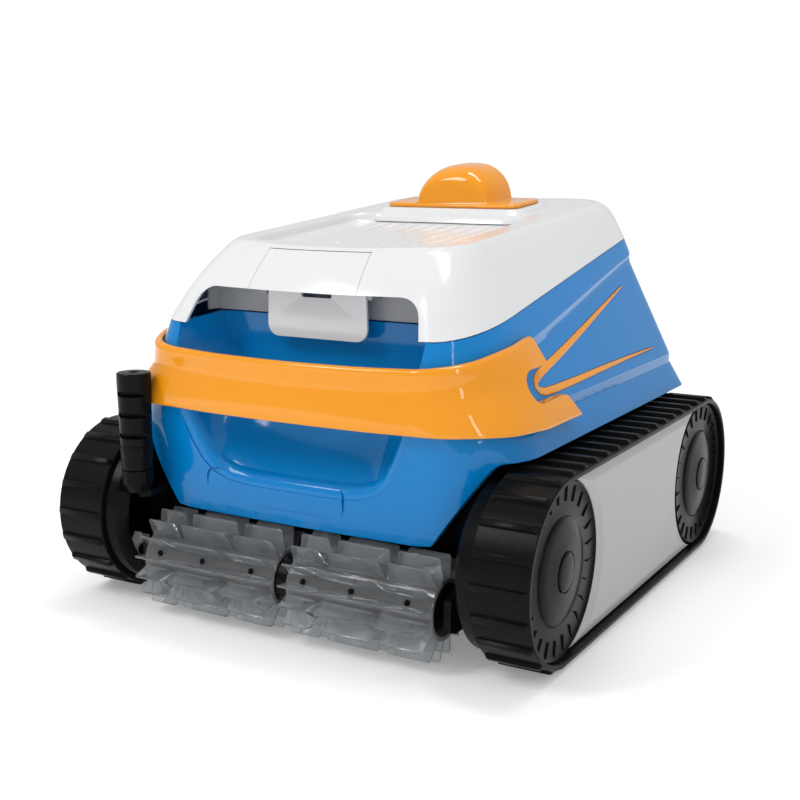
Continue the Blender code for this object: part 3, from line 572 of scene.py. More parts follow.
def lap_levels(y, foot, seam):
    """Heights and insets of the overlapping side panels, from the foot up."""
    strip = 22.0 - 8.0 * smooth(-150, 200, y)
    return [(foot, 0.0), (foot + 1.2, 0.5), (foot + 21, -3.0), (foot + 22.5, -3.4),
            (foot + 29.5, -0.6), (foot + 31, 0.0), (foot + 33.5, -0.3),
            (seam - strip - 10, -3.2), (seam - strip - 8.5, -3.4),
            (seam - strip - 1.2, -0.4), (seam - strip, 0.0), (seam - strip + 2, 0.0),
            (seam - 1.0, 0.0), (seam, -0.4)]


def side_inset(y, z):
    """How far the lapped side lies inside the plain wall."""
    seam = SEAM_Z + SEAM_SLOPE * y
    levels = lap_levels(y, SKIRT_Z, seam)
    inset = levels[-1][1]
    for (z0, i0), (z1, i1) in zip(levels, levels[1:]):
        if z0 <= z <= z1:
            inset = i0 + (i1 - i0) * (z - z0) / (z1 - z0)
            break
    return min(inset, 0.0) * smooth(-172, -140, y)


def side_point(y, z, out=0.0):
    """A point on the right side of the lapped body at a given Y."""
    low, high = 4.0, 15.0
    for _ in range(26):
        middle = (low + high) / 2
        if wall_point(middle, z)[1] < y:
            low = middle
        else:
            high = middle
    return wall_point(low, z, out + side_inset(y, z))


def body_rows(u):
    """Points of the outer wall at one column, from foot to seam, with the side laps."""
    rungs = ladder(u)
    foot, seam = rungs[0][2], rungs[-1][2]
    nx, ny = outward(u)
    y_middle = rungs[2][1]
    heights = [z for z, _ in lap_levels(y_middle, foot, seam)]
    heights[7:7] = [heights[6] + (heights[7] - heights[6]) * i / 10 for i in range(1, 10)]
    row = []
    for z in heights:
        x, y = along(rungs, z)
        inset = side_inset(y, z)
        row.append((x + nx * inset, y + ny * inset, z))
    return row


POCKET_SIDE = ((118.0, 262.0), (115.0, 240.0), (112.0, 222.0), (104.0, 196.0), (94.0, 168.0),
               (86.0, 149.0), (78.0, 136.0), (70.0, 129.5), (58.0, 125.5), (40.0, 124.0),
               (20.0, 124.0))
POCKET_LIP = 11.0
POCKET_WALL = 3.5
SHELL_WALL = 6.8


def pocket_outline(grow, scale=1.0, lift=0.0):
    """The pocket's X, Z outline, pushed outwards by grow, from the upper right to the left."""
    right = []
    for number, (x, z) in enumerate(POCKET_SIDE):
        before = POCKET_SIDE[max(number - 1, 0)]
        after = POCKET_SIDE[min(number + 1, len(POCKET_SIDE) - 1)]
        length = math.dist(before, after)
        right.append((x * scale + grow * (before[1] - after[1]) / length,
                      z + lift * (262.0 - z) / 138.0 - grow * (before[0] - after[0]) / length))
    right[0] = (right[0][0], 262.0)
    return right + [(-x, z) for x, z in reversed(right)]


def pocket(margin, lip=POCKET_LIP):
    """The hand pocket, grown by margin: its lip is rounded, and it scoops up to the rear."""
    rings = [[(x, -236.0, z) for x, z in pocket_outline(margin + lip)]]
    if not lip:
        rings.append([(x, -190.0, z) for x, z in pocket_outline(margin)])
    for depth in (0.0, 0.6, 1.8, 3.6, 6.2, POCKET_LIP) if lip else ():
        grow = lip - math.sqrt(lip ** 2 - (lip - depth) ** 2)
        rings.append([(x, -202.0 - 0.14 * (z - 118.0) + 4.0 * (x / 110.0) ** 2 + depth, z)
                      for x, z in pocket_outline(grow + margin)])
    for y, scale, lift in ((-176.0, 0.955, 17.0), (-160.0, 0.91, 38.0), (-151.0, 0.885, 50.0)):
        rings.append([(x, y, z) for x, z in pocket_outline(margin, scale, lift)])
    rings[-1] = [(x, y + margin, z) for x, y, z in rings[-1]]
    return skin(rings)


# ---------------------------------------------------------------- pieces of the body

class CLEANER_OT_body(bpy.types.Operator):
    """Body shell with lapped sides, hand pocket and scoop"""
    bl_idname = "cleaner.body"
    bl_label = "Body shell"

    def execute(self, context):
        half_rows = [body_rows(u) for u in COLUMNS]
        outer = [around([column[k] for column in half_rows]) for k in range(len(half_rows[0]))]
        inner = []
        for share in (1.0, 0.66, 0.33, 0.0):
            half = []
            for u in COLUMNS:
                rungs = ladder(u, SHELL_WALL)
                z = rungs[0][2] + (rungs[-1][2] - rungs[0][2]) * share
                x, y = along(rungs, z)
                half.append((x, y, z))
            inner.append(around(half))
        shell = solid("body_moulding", skin(outer + inner, closed=True))
        below = [(x, y, 40.0) for x, y, z in outer[0]]
        liner = solid("liner", pocket(POCKET_WALL, 0.0))
        carve(liner, skin([below] + outer), "INTERSECT")
        carve(shell, liner, "UNION")
        carve(shell, pocket(0.0))
        carve(shell, self.apron_groove())
        dress(shell, "blue", "chassis", ("body_shell",), 28)
        return {"FINISHED"}

    def apron_groove(self):
        """A shallow line round a panel on the apron."""
        front, bottom = -215.0, -199.3
        outside, inside = [rounded(half, tall, radius, 6, (-18.5, 110.0)) for half, tall, radius in
                           ((65.5, 13.5, 9), (63.3, 12.3, 8))]
        return skin([[(x, y, z) for x, z in outline] for outline, y in
                     ((outside, front), (outside, bottom), (inside, bottom), (inside, front))],
                    closed=True)


class CLEANER_OT_handle(bpy.types.Operator):
    """Carry handle wrapped round the front corners"""
    bl_idname = "cleaner.handle"
    bl_label = "Carry handle"

    def execute(self, context):
        stations = ((0.0, 171.0, 217.5), (2.0, 171.0, 218.0), (3.0, 171.5, 219.0),
                    (4.0, 172.0, 220.5), (5.0, 172.5, 222.0), (6.0, 172.0, 224.0),
                    (7.0, 171.0, 227.0), (8.3, 169.8, 230.5), (9.0, 168.6, 233.0),
                    (9.8, 168.0, 236.0))
        columns = [9.8 * i / 110 for i in range(111)]
        half = []
        for u in columns:
            for (u0, a0, b0), (u1, a1, b1) in zip(stations, stations[1:]):
                if u0 <= u <= u1:
                    t = (u - u0) / (u1 - u0)
                    low, high = a0 + (a1 - a0) * t, b0 + (b1 - b0) * t
                    break
            middle = (low + high) / 2
            hollow = 3.4 * (1 - smooth(7.4, 8.8, u))
            profile = [(1.6, low + 0.8), (3.0, low), (5.2, low), (6.3, low + 0.5),
                       (6.9, low + 1.6), (7.0, low + 3.0)]
            for i in range(1, 12):
                t = i / 12
                dip = hollow * math.sin(math.pi * t ** 1.67) ** 1.2
                profile.append((7.0 - dip, low + 3 + (high - low - 6) * t))
            profile += [(7.0, high - 3), (6.9, high - 1.6), (6.3, high - 0.5), (5.2, high),
                        (3.0, high), (1.6, high - 0.8), (1.9, middle)]
            swell = 2.0 + 4.0 * smooth(2.5, 5.5, u) * (1 - smooth(6.5, 8.5, u))
            half.append([wall_point(u, z, out + swell * (1 - (z - low) / (high - low))
                                    * smooth(1.6, 5.2, out))
                         for out, z in profile])
        other = [[(-x, y, z) for x, y, z in ring] for ring in half[:0:-1]]
        handle = solid("handle_moulding", skin(other + half))
        for side in (1, -1):
            carve(handle, mirrored(self.end_shape(), side))
        dress(handle, "orange", "chassis", ("carry_handle",), 34)
        return {"FINISHED"}

    def end_shape(self):
        """What is cut away at a side end: a U notch between two fingers."""
        notch = []
        for i in range(13):
            angle = math.radians(90 + 15 * i)
            notch.append((-125.0 + 12.5 * math.cos(angle), 199.5 + 12.5 * math.sin(angle)))
        outline = [(-60.0, 240.0), (-106.0, 240.0), (-107.0, 236.0), (-100.0, 222.0),
                   (-96.0, 213.5), (-98.5, 212.2)] + notch
        outline += [(-82.0, 187.0), (-79.0, 185.6), (-72.0, 178.0), (-64.5, 169.0),
                    (-63.0, 160.0), (-30.0, 160.0), (-30.0, 240.0)]
        return prism(outline, "X", 120.0, 215.0)


class CLEANER_OT_stripes(bpy.types.Operator):
    """Tapered V inlays on both sides"""
    bl_idname = "cleaner.stripes"
    bl_label = "Side stripes"

    def execute(self, context):
        path = ((128.0, 250.0, 0.8), (70.0, 237.5, 2.8), (13.0, 225.4, 4.4), (-40.0, 214.6, 5.4),
                (-85.0, 206.3, 6.0), (-101.0, 203.0, 6.0), (-108.0, 200.2, 5.8),
                (-110.2, 196.6, 5.7), (-107.0, 193.0, 5.7), (-99.0, 190.9, 5.6),
                (-80.0, 190.4, 5.4), (-30.0, 190.6, 4.8), (20.0, 191.4, 4.0), (85.0, 192.0, 2.4),
                (150.0, 192.2, 0.8))
        fine = [path[0]]
        for before, after in zip(path, path[1:]):
            steps = max(1, round(math.dist(before[:2], after[:2]) / 6))
            fine += [tuple(a + (b - a) * i / steps for a, b in zip(before, after))
                     for i in range(1, steps + 1)]
        for label, side in SIDES:
            # Painted shade: a black band 0.8 mm wider than the inlay on each side stands for the
            # shaded gap round it.
            gap_shade = solid("stripe_gap_" + label, mirrored(self.band(fine, 1.6, -1.2, 0.12), side))
            dress(gap_shade, "black", "chassis")
            inlay = solid("stripe_inlay_" + label, mirrored(self.band(fine, 0.0, -1.2, 0.9), side))
            dress(inlay, "orange", "chassis", ("stripe_" + label,))
        return {"FINISHED"}

    def band(self, path, extra, low, high):
        rings = []
        for number, (y, z, width) in enumerate(path):
            before = path[max(number - 1, 0)]
            after = path[min(number + 1, len(path) - 1)]
            length = math.dist(before[:2], after[:2])
            across = ((before[1] - after[1]) / length, (after[0] - before[0]) / length)
            ring = []
            half = (width + extra) / 2
            for share, out in ((-1, low), (1, low), (1, high - 0.4), (0.8, high), (-0.8, high),
                               (-1, high - 0.4)):
                ring.append(side_point(y + across[0] * half * share, z + across[1] * half * share,
                                       out))
            rings.append(ring)
        return skin(rings)


class CLEANER_OT_lid(bpy.types.Operator):
    """Lid with its dish, pedestal, badge panel, ribs and latch"""
    bl_idname = "cleaner.lid"
    bl_label = "Lid"

    def rounded_ladder(self, u, inset=0.0):
        """A column of the lid with its bends rounded by corner cutting."""
        points = ladder(u, inset, LID)
        for _ in range(3):
            cut = [points[0]]
            for a, b in zip(points, points[1:]):
                cut.append(tuple(p + (q - p) * 0.25 for p, q in zip(a, b)))
                cut.append(tuple(p + (q - p) * 0.75 for p, q in zip(a, b)))
            cut.append(points[-1])
            points = cut
        return points

    def sloped(self, outline, z, scale=1.0):
        return [(x * scale, y * scale, z + ROOF_SLOPE * y) for x, y in outline]

    def badge_seat(self, margin):
        rings = []
        for i in range(13):
            x = -50.0 + 100.0 * i / 12
            bow = 13.0 * (x / 96.0) ** 2
            x *= (50.0 + margin) / 50.0
            top = 0.94
            low, high = 262.0 - margin, 296.5 + margin
            rings.append([(x, -200.0 + bow, low), (x * top, -176.0 + bow, high),
                          (x * top, -152.0 + bow, high), (x, -184.0 + bow, low)])
        return skin(rings)

    def execute(self, context):
        columns = [self.rounded_ladder(u) for u in COLUMNS]
        rings = [around([column[k] for column in columns]) for k in range(len(columns[0]))]
        top = rings[-1]
        for scale in (0.97, 0.9, 0.8, 0.6, 0.3):
            crown = 0.5 * (1 - scale)
            rings.append([(x * scale, 10 + (y - 10) * scale,
                           ROOF_Z + crown + ROOF_SLOPE * (10 + (y - 10) * scale))
                          for x, y, z in top])
        lid = solid("lid_moulding", skin(rings))
        dish = rounded(92, 90, 26, 10, (0, -46))
        levels = ((0.915, 304.6), (0.945, 304.8), (0.962, 305.6), (0.972, 307.0), (0.982, 309.8),
                  (0.992, 311.4), (1.006, 312.5), (1.03, 314.0), (1.05, 320.0))
        cutter = [[(x * s, -46 + (y + 46) * s, z + ROOF_SLOPE * (-46 + (y + 46) * s))
                   for x, y in dish] for s, z in levels]
        carve(lid, skin(cutter))
        pedestal = [self.sloped(rounded(70 + out, 32 + out, 13 + out * 0.7, 10, (0, PUMP_Y)),
                                ROOF_Z + up)
                    for out, up in ((13.5, -6.5), (11.5, -3.2), (7.5, -1.4), (2.2, 3.6),
                                    (1.0, 4.4), (-0.5, PEDESTAL))]
        carve(lid, skin(pedestal), "UNION")
        inner = [section.inset(3.0) for section in LID[:3]]
        cavity = []
        for number, drop in ((0, -10.0), (0, 0.0), (1, 0.0), (2, -9.0)):
            half = [inner[number].point(u) for u in COLUMNS]
            cavity.append(around([(x, y, z + drop) for x, y, z in half]))
        carve(lid, skin(cavity))
        carve(lid, self.opening())
        panel = new_object("badge_moulding", lid.data.copy())
        carve(lid, self.badge_seat(0.0))
        carve(panel, self.badge_seat(-0.45), "INTERSECT")
        throat = prism(rounded(36, 18, 16, 8, (0, PUMP_Y)), "Z", 280, 340)
        carve(lid, throat)
        eye_y, eye_z = 215.0, 291.0
        eye = [(191.0, 305.0)]
        eye += [(eye_y + 6 * math.cos(a), eye_z + 6 * math.sin(a))
                for a in [math.radians(80 - 20 * i) for i in range(10)]]
        eye += [(207.8, 292.0), (204.0, 297.0), (191.0, 299.5)]
        for side in (1, -1):
            carve(lid, mirrored(prism(eye, "X", 47.0, 61.0), side), "UNION")
        carve(lid, prism(circle(2.7, 24, (eye_y, eye_z)), "X", -120, 120))
        dress(lid, "white", "lid", ("lid",), 30)
        dress(panel, "white", "lid", ("badge_panel",), 30)
        self.inner_wall()
        self.ribs(context)
        self.tongue()
        return {"FINISHED"}

    def opening(self):
        """The opening under the lid's front edge, with rounded upper corners."""
        outline = [(-114, 226), (114, 226)]
        outline += [(107.0, 236.0)]
        for i in range(9):
            angle = math.radians(15 + 75 * i / 8)
            outline.append((84.0 + 19.0 * math.cos(angle), 248.0 + 18.5 * math.sin(angle)))
        outline += [(-x, z) for x, z in reversed(outline[3:])]
        outline += [(-107.0, 236.0)]
        return prism(outline, "Y", -240, -158)

    def inner_wall(self):
        """The wall behind the latch, with a short return at each end; its grey finish is painted
        shade of the recess.
        """
        outline = [(-108, -147.4), (108, -147.4), (112, -151), (112, -158), (109.5, -158),
                   (107, -150), (-107, -150), (-109.5, -158), (-112, -158), (-112, -151)]
        wall = solid("inner_wall_moulding", prism(outline, "Z", 244.0, 279.0))
        for side in (1, -1):
            lug = prism([(46.8, LATCH_Y - 5), (51.0, LATCH_Y - 5), (51.0, -149.0),
                         (46.8, -149.0)], "Z", LATCH_Z - 5, LATCH_Z + 6)
            carve(wall, mirrored(lug, side), "UNION")
        carve(wall, prism(circle(1.65, 20, (LATCH_Y, LATCH_Z)), "X", -60, 60))
        # Painted shade: this wall of the white lid is made grey for the shade in the recess behind
        # the latch.
        dress(wall, "grey", "lid", ("lid_inner_wall",), 30)

    def ribs(self, context):
        """Fine ribs across the dish floor, set out by the copies tree."""
        count = context.scene.cleaner_sizes.lid_ribs
        if not count:
            return
        bar = stacked(((1.2, 60.0, -0.6), (1.2, 60.0, 0.1), (0.7, 59.5, 0.6)))
        spots = []
        for i in range(count):
            x = -60.0 + 120.0 * i / (count - 1)
            y = -30.0
            spots.append(((x, y, 304.6 + ROOF_SLOPE * y), (math.atan(ROOF_SLOPE), 0, 0)))
        ribs = repeat("lid_ribs", bar, spots, "white", 0.25)
        dress(ribs, "white", "lid")

    def tongue(self):
        """The latch tongue with rounded lower corners and a finger ledge."""
        low, high = LATCH_Z - 38.0, LATCH_Z
        outline = [(45, high), (-45, high)]
        for sign, turns in ((-1, range(9)), (1, range(8, -1, -1))):
            for i in turns:
                a = math.radians(90 * i / 8)
                outline.append((sign * (46 - 10 * (1 - math.cos(a))), low + 10 * (1 - math.sin(a))))
        tongue = solid("latch_moulding", prism(outline, "Y", LATCH_Y - 4.0, LATCH_Y - 1.6))
        barrel = prism(circle(4.0, 32, (LATCH_Y, LATCH_Z)), "X", -46.0, 46.0)
        carve(tongue, barrel, "UNION")
        hook = prism([(LATCH_Y - 2.5, 231.0), (-154.0, 231.0), (-153.0, 234.5),
                      (LATCH_Y - 2.5, 236.0)], "X", -9.0, 9.0)
        carve(tongue, hook, "UNION")
        gap = prism(rounded(14, 6, 2, 4, (0, LATCH_Z)), "Y", LATCH_Y - 6, LATCH_Y + 6)
        carve(tongue, gap)
        bevelled(tongue, 0.35)
        dress(tongue, "white", "latch", ("latch_tongue",))


class CLEANER_OT_hood(bpy.types.Operator):
    """Water outlet hood on the lid"""
    bl_idname = "cleaner.hood"
    bl_label = "Outlet hood"

    def cowl(self, half, height, rear, front, nose, flare):
        """Arches from the rear opening to the rounded nose, flared at the foot."""
        base = ROOF_Z + PEDESTAL + 0.3
        stops = [(rear, 1.0)]
        for i in range(15):
            a = math.radians(90 * i / 14)
            stops.append((front + nose * (1 - math.sin(a)), 0.56 + 0.44 * math.cos(a) ** 0.8))
        arches = []
        for y, scale in stops:
            across = half * (0.55 + 0.45 * scale)
            low = base + ROOF_SLOPE * y
            right = []
            for out, up in ((flare, 1.5), (flare, 3.0), (flare * 0.45, 3.6), (flare * 0.12, 5.0)):
                right.append((across + out, y - out * (1 - scale) * 2, low + up))
            arch = [(-x, yy, z) for x, yy, z in right]
            for i in range(1, 32):
                a = math.pi * (1 - i / 32)
                lean = 1.0 - 0.20 * math.sin(a)
                x = across * lean * math.copysign(abs(math.cos(a)) ** 0.75, math.cos(a))
                arch.append((x, y, low + 5.4 + (height * scale - 5.4) * math.sin(a) ** 0.72))
            arches.append(arch + right[::-1])
        return skin(arches)

    def execute(self, context):
        base = ROOF_Z + PEDESTAL + 0.3
        rings = []
        for out, up in ((0.0, 0.0), (0.6, 0.5), (0.6, 2.2), (0.1, 2.9), (-0.9, 3.2)):
            outline = rounded(66.4 + out, 28.4 + out, 10, 8, (0, PUMP_Y))
            rings.append([(x, y, base + up + ROOF_SLOPE * y) for x, y in outline])
        hood = solid("hood_moulding", skin(rings))
        carve(hood, self.cowl(39.5, 36.0, 102.0, 58.0, 26.0, 4.0), "UNION")
        carve(hood, self.cowl(36.5, 33.0, 118.0, 61.5, 23.0, 0.0))
        mouth = prism(rounded(33, 16, 13, 8, (0, PUMP_Y)), "Z", base - 10, base + 18)
        carve(hood, mouth)
        dress(hood, "orange", "lid", ("outlet_hood",), 38)
        return {"FINISHED"}


# ---------------------------------------------------------------- running gear

BAND_R = 70.8
BELT_IN_R = 66.3
WHEEL_R = 66.0
RIB_R = 57.5                   # middle of the short ribs on a wheel face
GEAR_TEETH = 40
STUD_R = 23.4                  # seat of the studs on a brush
HALF_WIDTH = 215.0
BELT_WIDTH = 46.4


def stadium(radius, steps):
    return ([(AXLE_Y + radius * math.cos(a), AXLE_Z + radius * math.sin(a))
             for a in [math.pi * (i / steps - 0.5) for i in range(steps + 1)]]
            + [(-AXLE_Y + radius * math.cos(a), AXLE_Z + radius * math.sin(a))
               for a in [math.pi * (i / steps + 0.5) for i in range(steps + 1)]])


def on_track(distance, radius):
    """Y, Z and outward angle at a distance round a track."""
    bend = math.pi * radius
    length = 2 * (WHEELBASE + bend)
    distance %= length
    if distance < WHEELBASE:
        return -AXLE_Y + distance, AXLE_Z - radius, -math.pi / 2
    if distance < WHEELBASE + bend:
        a = (distance - WHEELBASE) / radius - math.pi / 2
        return AXLE_Y + radius * math.cos(a), AXLE_Z + radius * math.sin(a), a
    if distance < 2 * WHEELBASE + bend:
        return AXLE_Y - (distance - WHEELBASE - bend), AXLE_Z + radius, math.pi / 2
    a = (distance - 2 * WHEELBASE - bend) / radius + math.pi / 2
    return -AXLE_Y + radius * math.cos(a), AXLE_Z + radius * math.sin(a), a


class CLEANER_OT_tracks(bpy.types.Operator):
    """Rubber belts with chamfered tread bars"""
    bl_idname = "cleaner.tracks"
    bl_label = "Track belts"

    def execute(self, context):
        sizes = context.scene.cleaner_sizes
        height = sizes.tread_height / MM
        for label, side in SIDES:
            low, high = HALF_WIDTH - BELT_WIDTH, HALF_WIDTH
            rings = []
            for x, radius in ((low, BELT_IN_R + 0.3), (low, BAND_R - 0.8), (low + 0.8, BAND_R),
                              (high - 0.8, BAND_R), (high, BAND_R - 0.8), (high, BELT_IN_R + 1.2),
                              (high - 1.0, BELT_IN_R + 0.3)):
                rings.append([(side * x, y, z) for y, z in stadium(radius, 48)])
            band = solid("belt_band_" + label, skin(rings, closed=True))
            length = 2 * (WHEELBASE + math.pi * BAND_R)
            spots = []
            for number in range(sizes.treads):
                y, z, angle = on_track(number * length / sizes.treads, BAND_R)
                spots.append(((side * (HALF_WIDTH - BELT_WIDTH / 2), y, z),
                              (angle - math.pi / 2, 0, 0)))
            wide = BELT_WIDTH - 1.2
            bar = self.tread(wide, height)
            bars = repeat("belt_bars_" + label, bar, spots, "rubber", 0.3)
            belt = join(band, bars)
            belt.name = "belt_moulding_" + label
            dress(belt, "rubber", "chassis", ("track_belt_" + label,), 30)
        return {"FINISHED"}

    def tread(self, wide, height):
        """A bar across the belt, with sloped ends and sides."""
        half = wide / 2
        return stacked(((half, 2.9, -0.6), (half - 0.4, 2.7, 0.3),
                        (half - 2.4, 2.35, height - 0.35), (half - 2.9, 2.0, height)))


class CLEANER_OT_wheels(bpy.types.Operator):
    """Wheel faces, drums, ribs and hub caps"""
    bl_idname = "cleaner.wheels"
    bl_label = "Wheels"

    def execute(self, context):
        ribs = context.scene.cleaner_sizes.wheel_ribs
        for end, y in (("front", -AXLE_Y), ("rear", AXLE_Y)):
            for label, side in SIDES:
                profile = [(151, 56.5), (152, 58.5), (157.5, WHEEL_R - 0.4), (158.5, WHEEL_R),
                           (209.0, WHEEL_R), (209.5, WHEEL_R - 0.5), (208.6, 64.2), (207.7, 62.6),
                           (207.5, 58), (207.5, 41.9), (207.8, 41.0), (208.8, 40.3), (209.4, 39.4),
                           (210.6, 30), (211.8, 21), (212.4, 16.2), (212.0, 15.4), (210.2, 15.2),
                           (210.2, 8.2), (146.5, 8.2),
                           (146.5, 14), (203.5, 14), (203.5, 52), (200, 56.8), (151, 56.5)]
                solid_shape = turned([(side * x, r) for x, r in profile], "X", (y, AXLE_Z), 96)
                wheel = solid("wheel_%s_%s_moulding" % (end, label), solid_shape)
                spots = []
                for number in range(ribs):
                    a = math.tau * (number + 0.5) / ribs
                    spots.append(((side * 207.3, y + RIB_R * math.cos(a),
                                   AXLE_Z + RIB_R * math.sin(a)), (a, 0, 0)))
                rib = self.rib(side)
                bars = repeat("wheel_ribs", rib, spots, "black", 0.25)
                wheel = join(wheel, bars)
                dress(wheel, "black", "wheel_%s_%s" % (end, label),
                      (), 30)
                cad = frame["nodes"]["wheel_%s_%s" % (end, label)]
                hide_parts(cad.name)
                gear = self.ring_gear(y, side)
                teeth = solid("ring_gear_%s_%s" % (end, label), gear)
                dress(teeth, "black", "wheel_%s_%s" % (end, label), (), 20)
                cap = turned([(side * x, r) for x, r in ((210.4, 0), (210.4, 14.6), (212.6, 14.5),
                                                        (213.2, 13.6), (213.5, 12.6), (213.8, 0))],
                             "X", (y, AXLE_Z), 48, closed=False)
                dress(solid("hub_cap_%s_%s" % (end, label), cap), "black", "chassis", (), 30)
        return {"FINISHED"}

    def rib(self, side):
        """A short radial bar that stands on the wheel's face, pointing along local Y."""
        rings = []
        for half, length, x in ((0.75, 6.4, 0.0), (0.6, 6.2, 0.9), (0.3, 5.6, 1.4)):
            rings.append([(side * x, s * length, t * half)
                          for s, t in ((-1, -1), (1, -1), (1, 1), (-1, 1))])
        return skin(rings)

    def ring_gear(self, y, side):
        """The internal toothed ring inside the drum."""
        mesh = math.atan2(BRUSH_Z - AXLE_Z, BRUSH_Y + AXLE_Y) if y < 0 else math.pi
        toothed, plain = [], []
        for number in range(GEAR_TEETH):
            for offset, radius in ((0.0, 56.8), (0.5, 61.8)):
                a = mesh + (number + offset) * math.tau / GEAR_TEETH
                toothed.append((y + radius * math.cos(a), AXLE_Z + radius * math.sin(a)))
                plain.append((y + 64.0 * math.cos(a), AXLE_Z + 64.0 * math.sin(a)))
        rings = [[(side * x, *p) for p in outline] for outline, x in
                 ((toothed, 158.0), (toothed, 165.5), (plain, 165.5), (plain, 158.0))]
        return skin(rings, closed=True)


class CLEANER_OT_covers(bpy.types.Operator):
    """Pale side covers between the wheels"""
    bl_idname = "cleaner.covers"
    bl_label = "Side covers"

    def execute(self, context):
        radius = WHEEL_R + 1.6
        top = BELT_IN_R - 1.2
        reach = math.asin(top / radius)
        for label, side in SIDES:
            def outline(shrink):
                r = radius + shrink
                t = min(reach, math.asin(min(1.0, (top - shrink) / r)))
                points = [(-AXLE_Y + r * math.cos(a), AXLE_Z + r * math.sin(a))
                          for a in [t * (1 - i / 16) for i in range(33)]]
                points += [(AXLE_Y - r * math.cos(a), AXLE_Z + r * math.sin(a))
                           for a in [-t * (1 - i / 16) for i in range(33)]]
                return points
            rings = []
            for shrink, x in ((3.0, 208.5), (3.0, 206.0), (0.0, 206.0), (0.0, 208.4),
                              (0.3, 208.9), (7.6, 211.1), (8.2, 211.4), (9.4, 211.5)):
                rings.append([(side * x, y, z) for y, z in outline(shrink)])
            cover = solid("side_cover_moulding_" + label, skin(rings))
            for y in (-60.0, 60.0):
                post = turned([(side * x, r) for x, r in ((209.5, 7.0), (144.5, 7.0), (144.5, 4.0),
                                                          (139.0, 4.0))], "X", (y, AXLE_Z), 24,
                              False)
                carve(cover, post, "UNION")
            dress(cover, "grey", "chassis", ("side_cover_" + label,), 30)
        return {"FINISHED"}


class CLEANER_OT_brushes(bpy.types.Operator):
    """Roller brushes with smoky blades"""
    bl_idname = "cleaner.brushes"
    bl_label = "Brushes"

    def blade(self, width):
        """A blade with rounded outer corners, standing on local Z, thicker at its foot."""
        return stacked([(width / 2 - trim, half, radius) for radius, half, trim in
                        ((22.5, 1.1, 0.0), (25.5, 0.9, 0.4), (34.0, 0.8, 1.6), (38.6, 0.75, 2.2),
                         (39.6, 0.72, 2.6), (40.2, 0.7, 3.3), (40.4, 0.6, 4.2))])

    def execute(self, context):
        count = context.scene.cleaner_sizes.blades
        bands = {"left": ((7.0, 47.0), (50.5, 99.5), (103.0, 133.0)),
                 "right": ((7.0, 37.0), (40.5, 89.5), (93.0, 133.0))}
        centre = (BRUSH_Y, BRUSH_Z)
        for label, side in SIDES:
            profile = [(6.5, 20.3), (6.5, 23.0), (7.0, 23.5), (133.0, 23.5), (133.5, 23.0),
                       (133.5, 20.3)]
            hub = solid("hub", turned([(side * x, r) for x, r in profile], "X", centre, 48))
            rows = []
            pegs = []
            for start, end in bands[label]:
                spots = []
                middle = side * (start + end) / 2
                for number in range(count):
                    a = number * math.tau / count
                    spots.append(((middle, *centre), (a - math.pi / 2, 0, 0)))
                for number in range(0, count, 3):
                    a = (number + 0.62) * math.tau / count
                    pegs.append(((middle, BRUSH_Y + STUD_R * math.cos(a),
                                  BRUSH_Z + STUD_R * math.sin(a)), (a - math.pi / 2, 0, 0)))
                rows.append(repeat("blades", self.blade(end - start), spots, "smoke", 0.15))
            sleeve = join(hub, *rows)
            sleeve.name = "brush_moulding_" + label
            dress(sleeve, "smoke", "brush_" + label, ("brush_sleeve_" + label,), 30)
            peg = skin([[(x, y, z) for x, y in circle(r, 16)]
                        for r, z in ((2.4, -0.5), (2.4, 0.5), (2.0, 0.9))])
            studs = repeat("brush_studs_" + label, peg, pegs, "black")
            dress(studs, "black", "brush_" + label, (), 30)
        return {"FINISHED"}


class CLEANER_OT_boot(bpy.types.Operator):
    """Flexible boot for the power lead"""
    bl_idname = "cleaner.boot"
    bl_label = "Cable boot"

    def execute(self, context):
        centre = (-138.0, -222.0)
        profile = [(112.4, 4.0), (112.4, 8.0), (119.4, 8.0), (119.4, 11.6), (120.0, 12.2),
                   (128, 12.5), (134, 12.9), (136.5, 12.9), (137.4, 12.0), (138.6, 12.0),
                   (139.6, 12.9), (150, 13.0), (158, 13.0), (162, 13.1), (170, 13.2), (178, 13.4),
                   (184, 13.6), (194, 13.8), (197.4, 13.7), (198.3, 13.0), (198.5, 12.0),
                   (198.5, 4.0)]
        boot = solid("boot_moulding", turned(profile, "Z", centre, 64))
        for level, turn in ((148.0, 0), (165.0, 0), (182.0, 0), (156.5, 180), (173.5, 180)):
            slot = []
            for depth in (0.0, 12.0):
                slot.append([(x, y, level + z) for x, y, z in
                             [(a, -5.0 - depth, b) for a, b in rounded(11.5, 2.2, 2.1, 6)]])
            points, faces = skin(slot)
            spin = Matrix.Rotation(math.radians(turn + 25), 3, "Z")
            moved = []
            for x, y, z in points:
                spot = spin @ Vector((x, y, 0))
                moved.append((spot.x + centre[0], spot.y + centre[1], z))
            carve(boot, (moved, faces))
        dress(boot, "rubber", "chassis", ("cable_boot",), 30)
        return {"FINISHED"}


class CLEANER_OT_finishes(bpy.types.Operator):
    """Gives every carried-over CAD piece its finish, and adds the screws"""
    bl_idname = "cleaner.finishes"
    bl_label = "Finishes and screws"

    def execute(self, context):
        slots = {item["node"]: item["material_slot"] for item in frame["record"]["subparts"]}
        for name, thing in frame["nodes"].items():
            thing.data.materials.clear()
            thing.data.materials.append(finish(slots[name]))
            thing.data.shade_smooth()
            thing.data.set_sharp_from_angle(angle=math.radians(30))
        spots = []
        for x in (-125.0, 0.0, 125.0):
            for y in (-140.0, -20.0, 90.0, 185.0):
                spots.append(((x, y, 26.4), (math.pi, 0, 0)))
        head = skin([[(x, y, z) for x, y in circle(r, 20)]
                     for r, z in ((3.6, -0.6), (3.6, 0.6), (2.9, 1.2))])
        screws = repeat("floor_screws", head, spots, "steel")
        dress(screws, "steel", "chassis")
        return {"FINISHED"}


# ---------------------------------------------------------------- stage

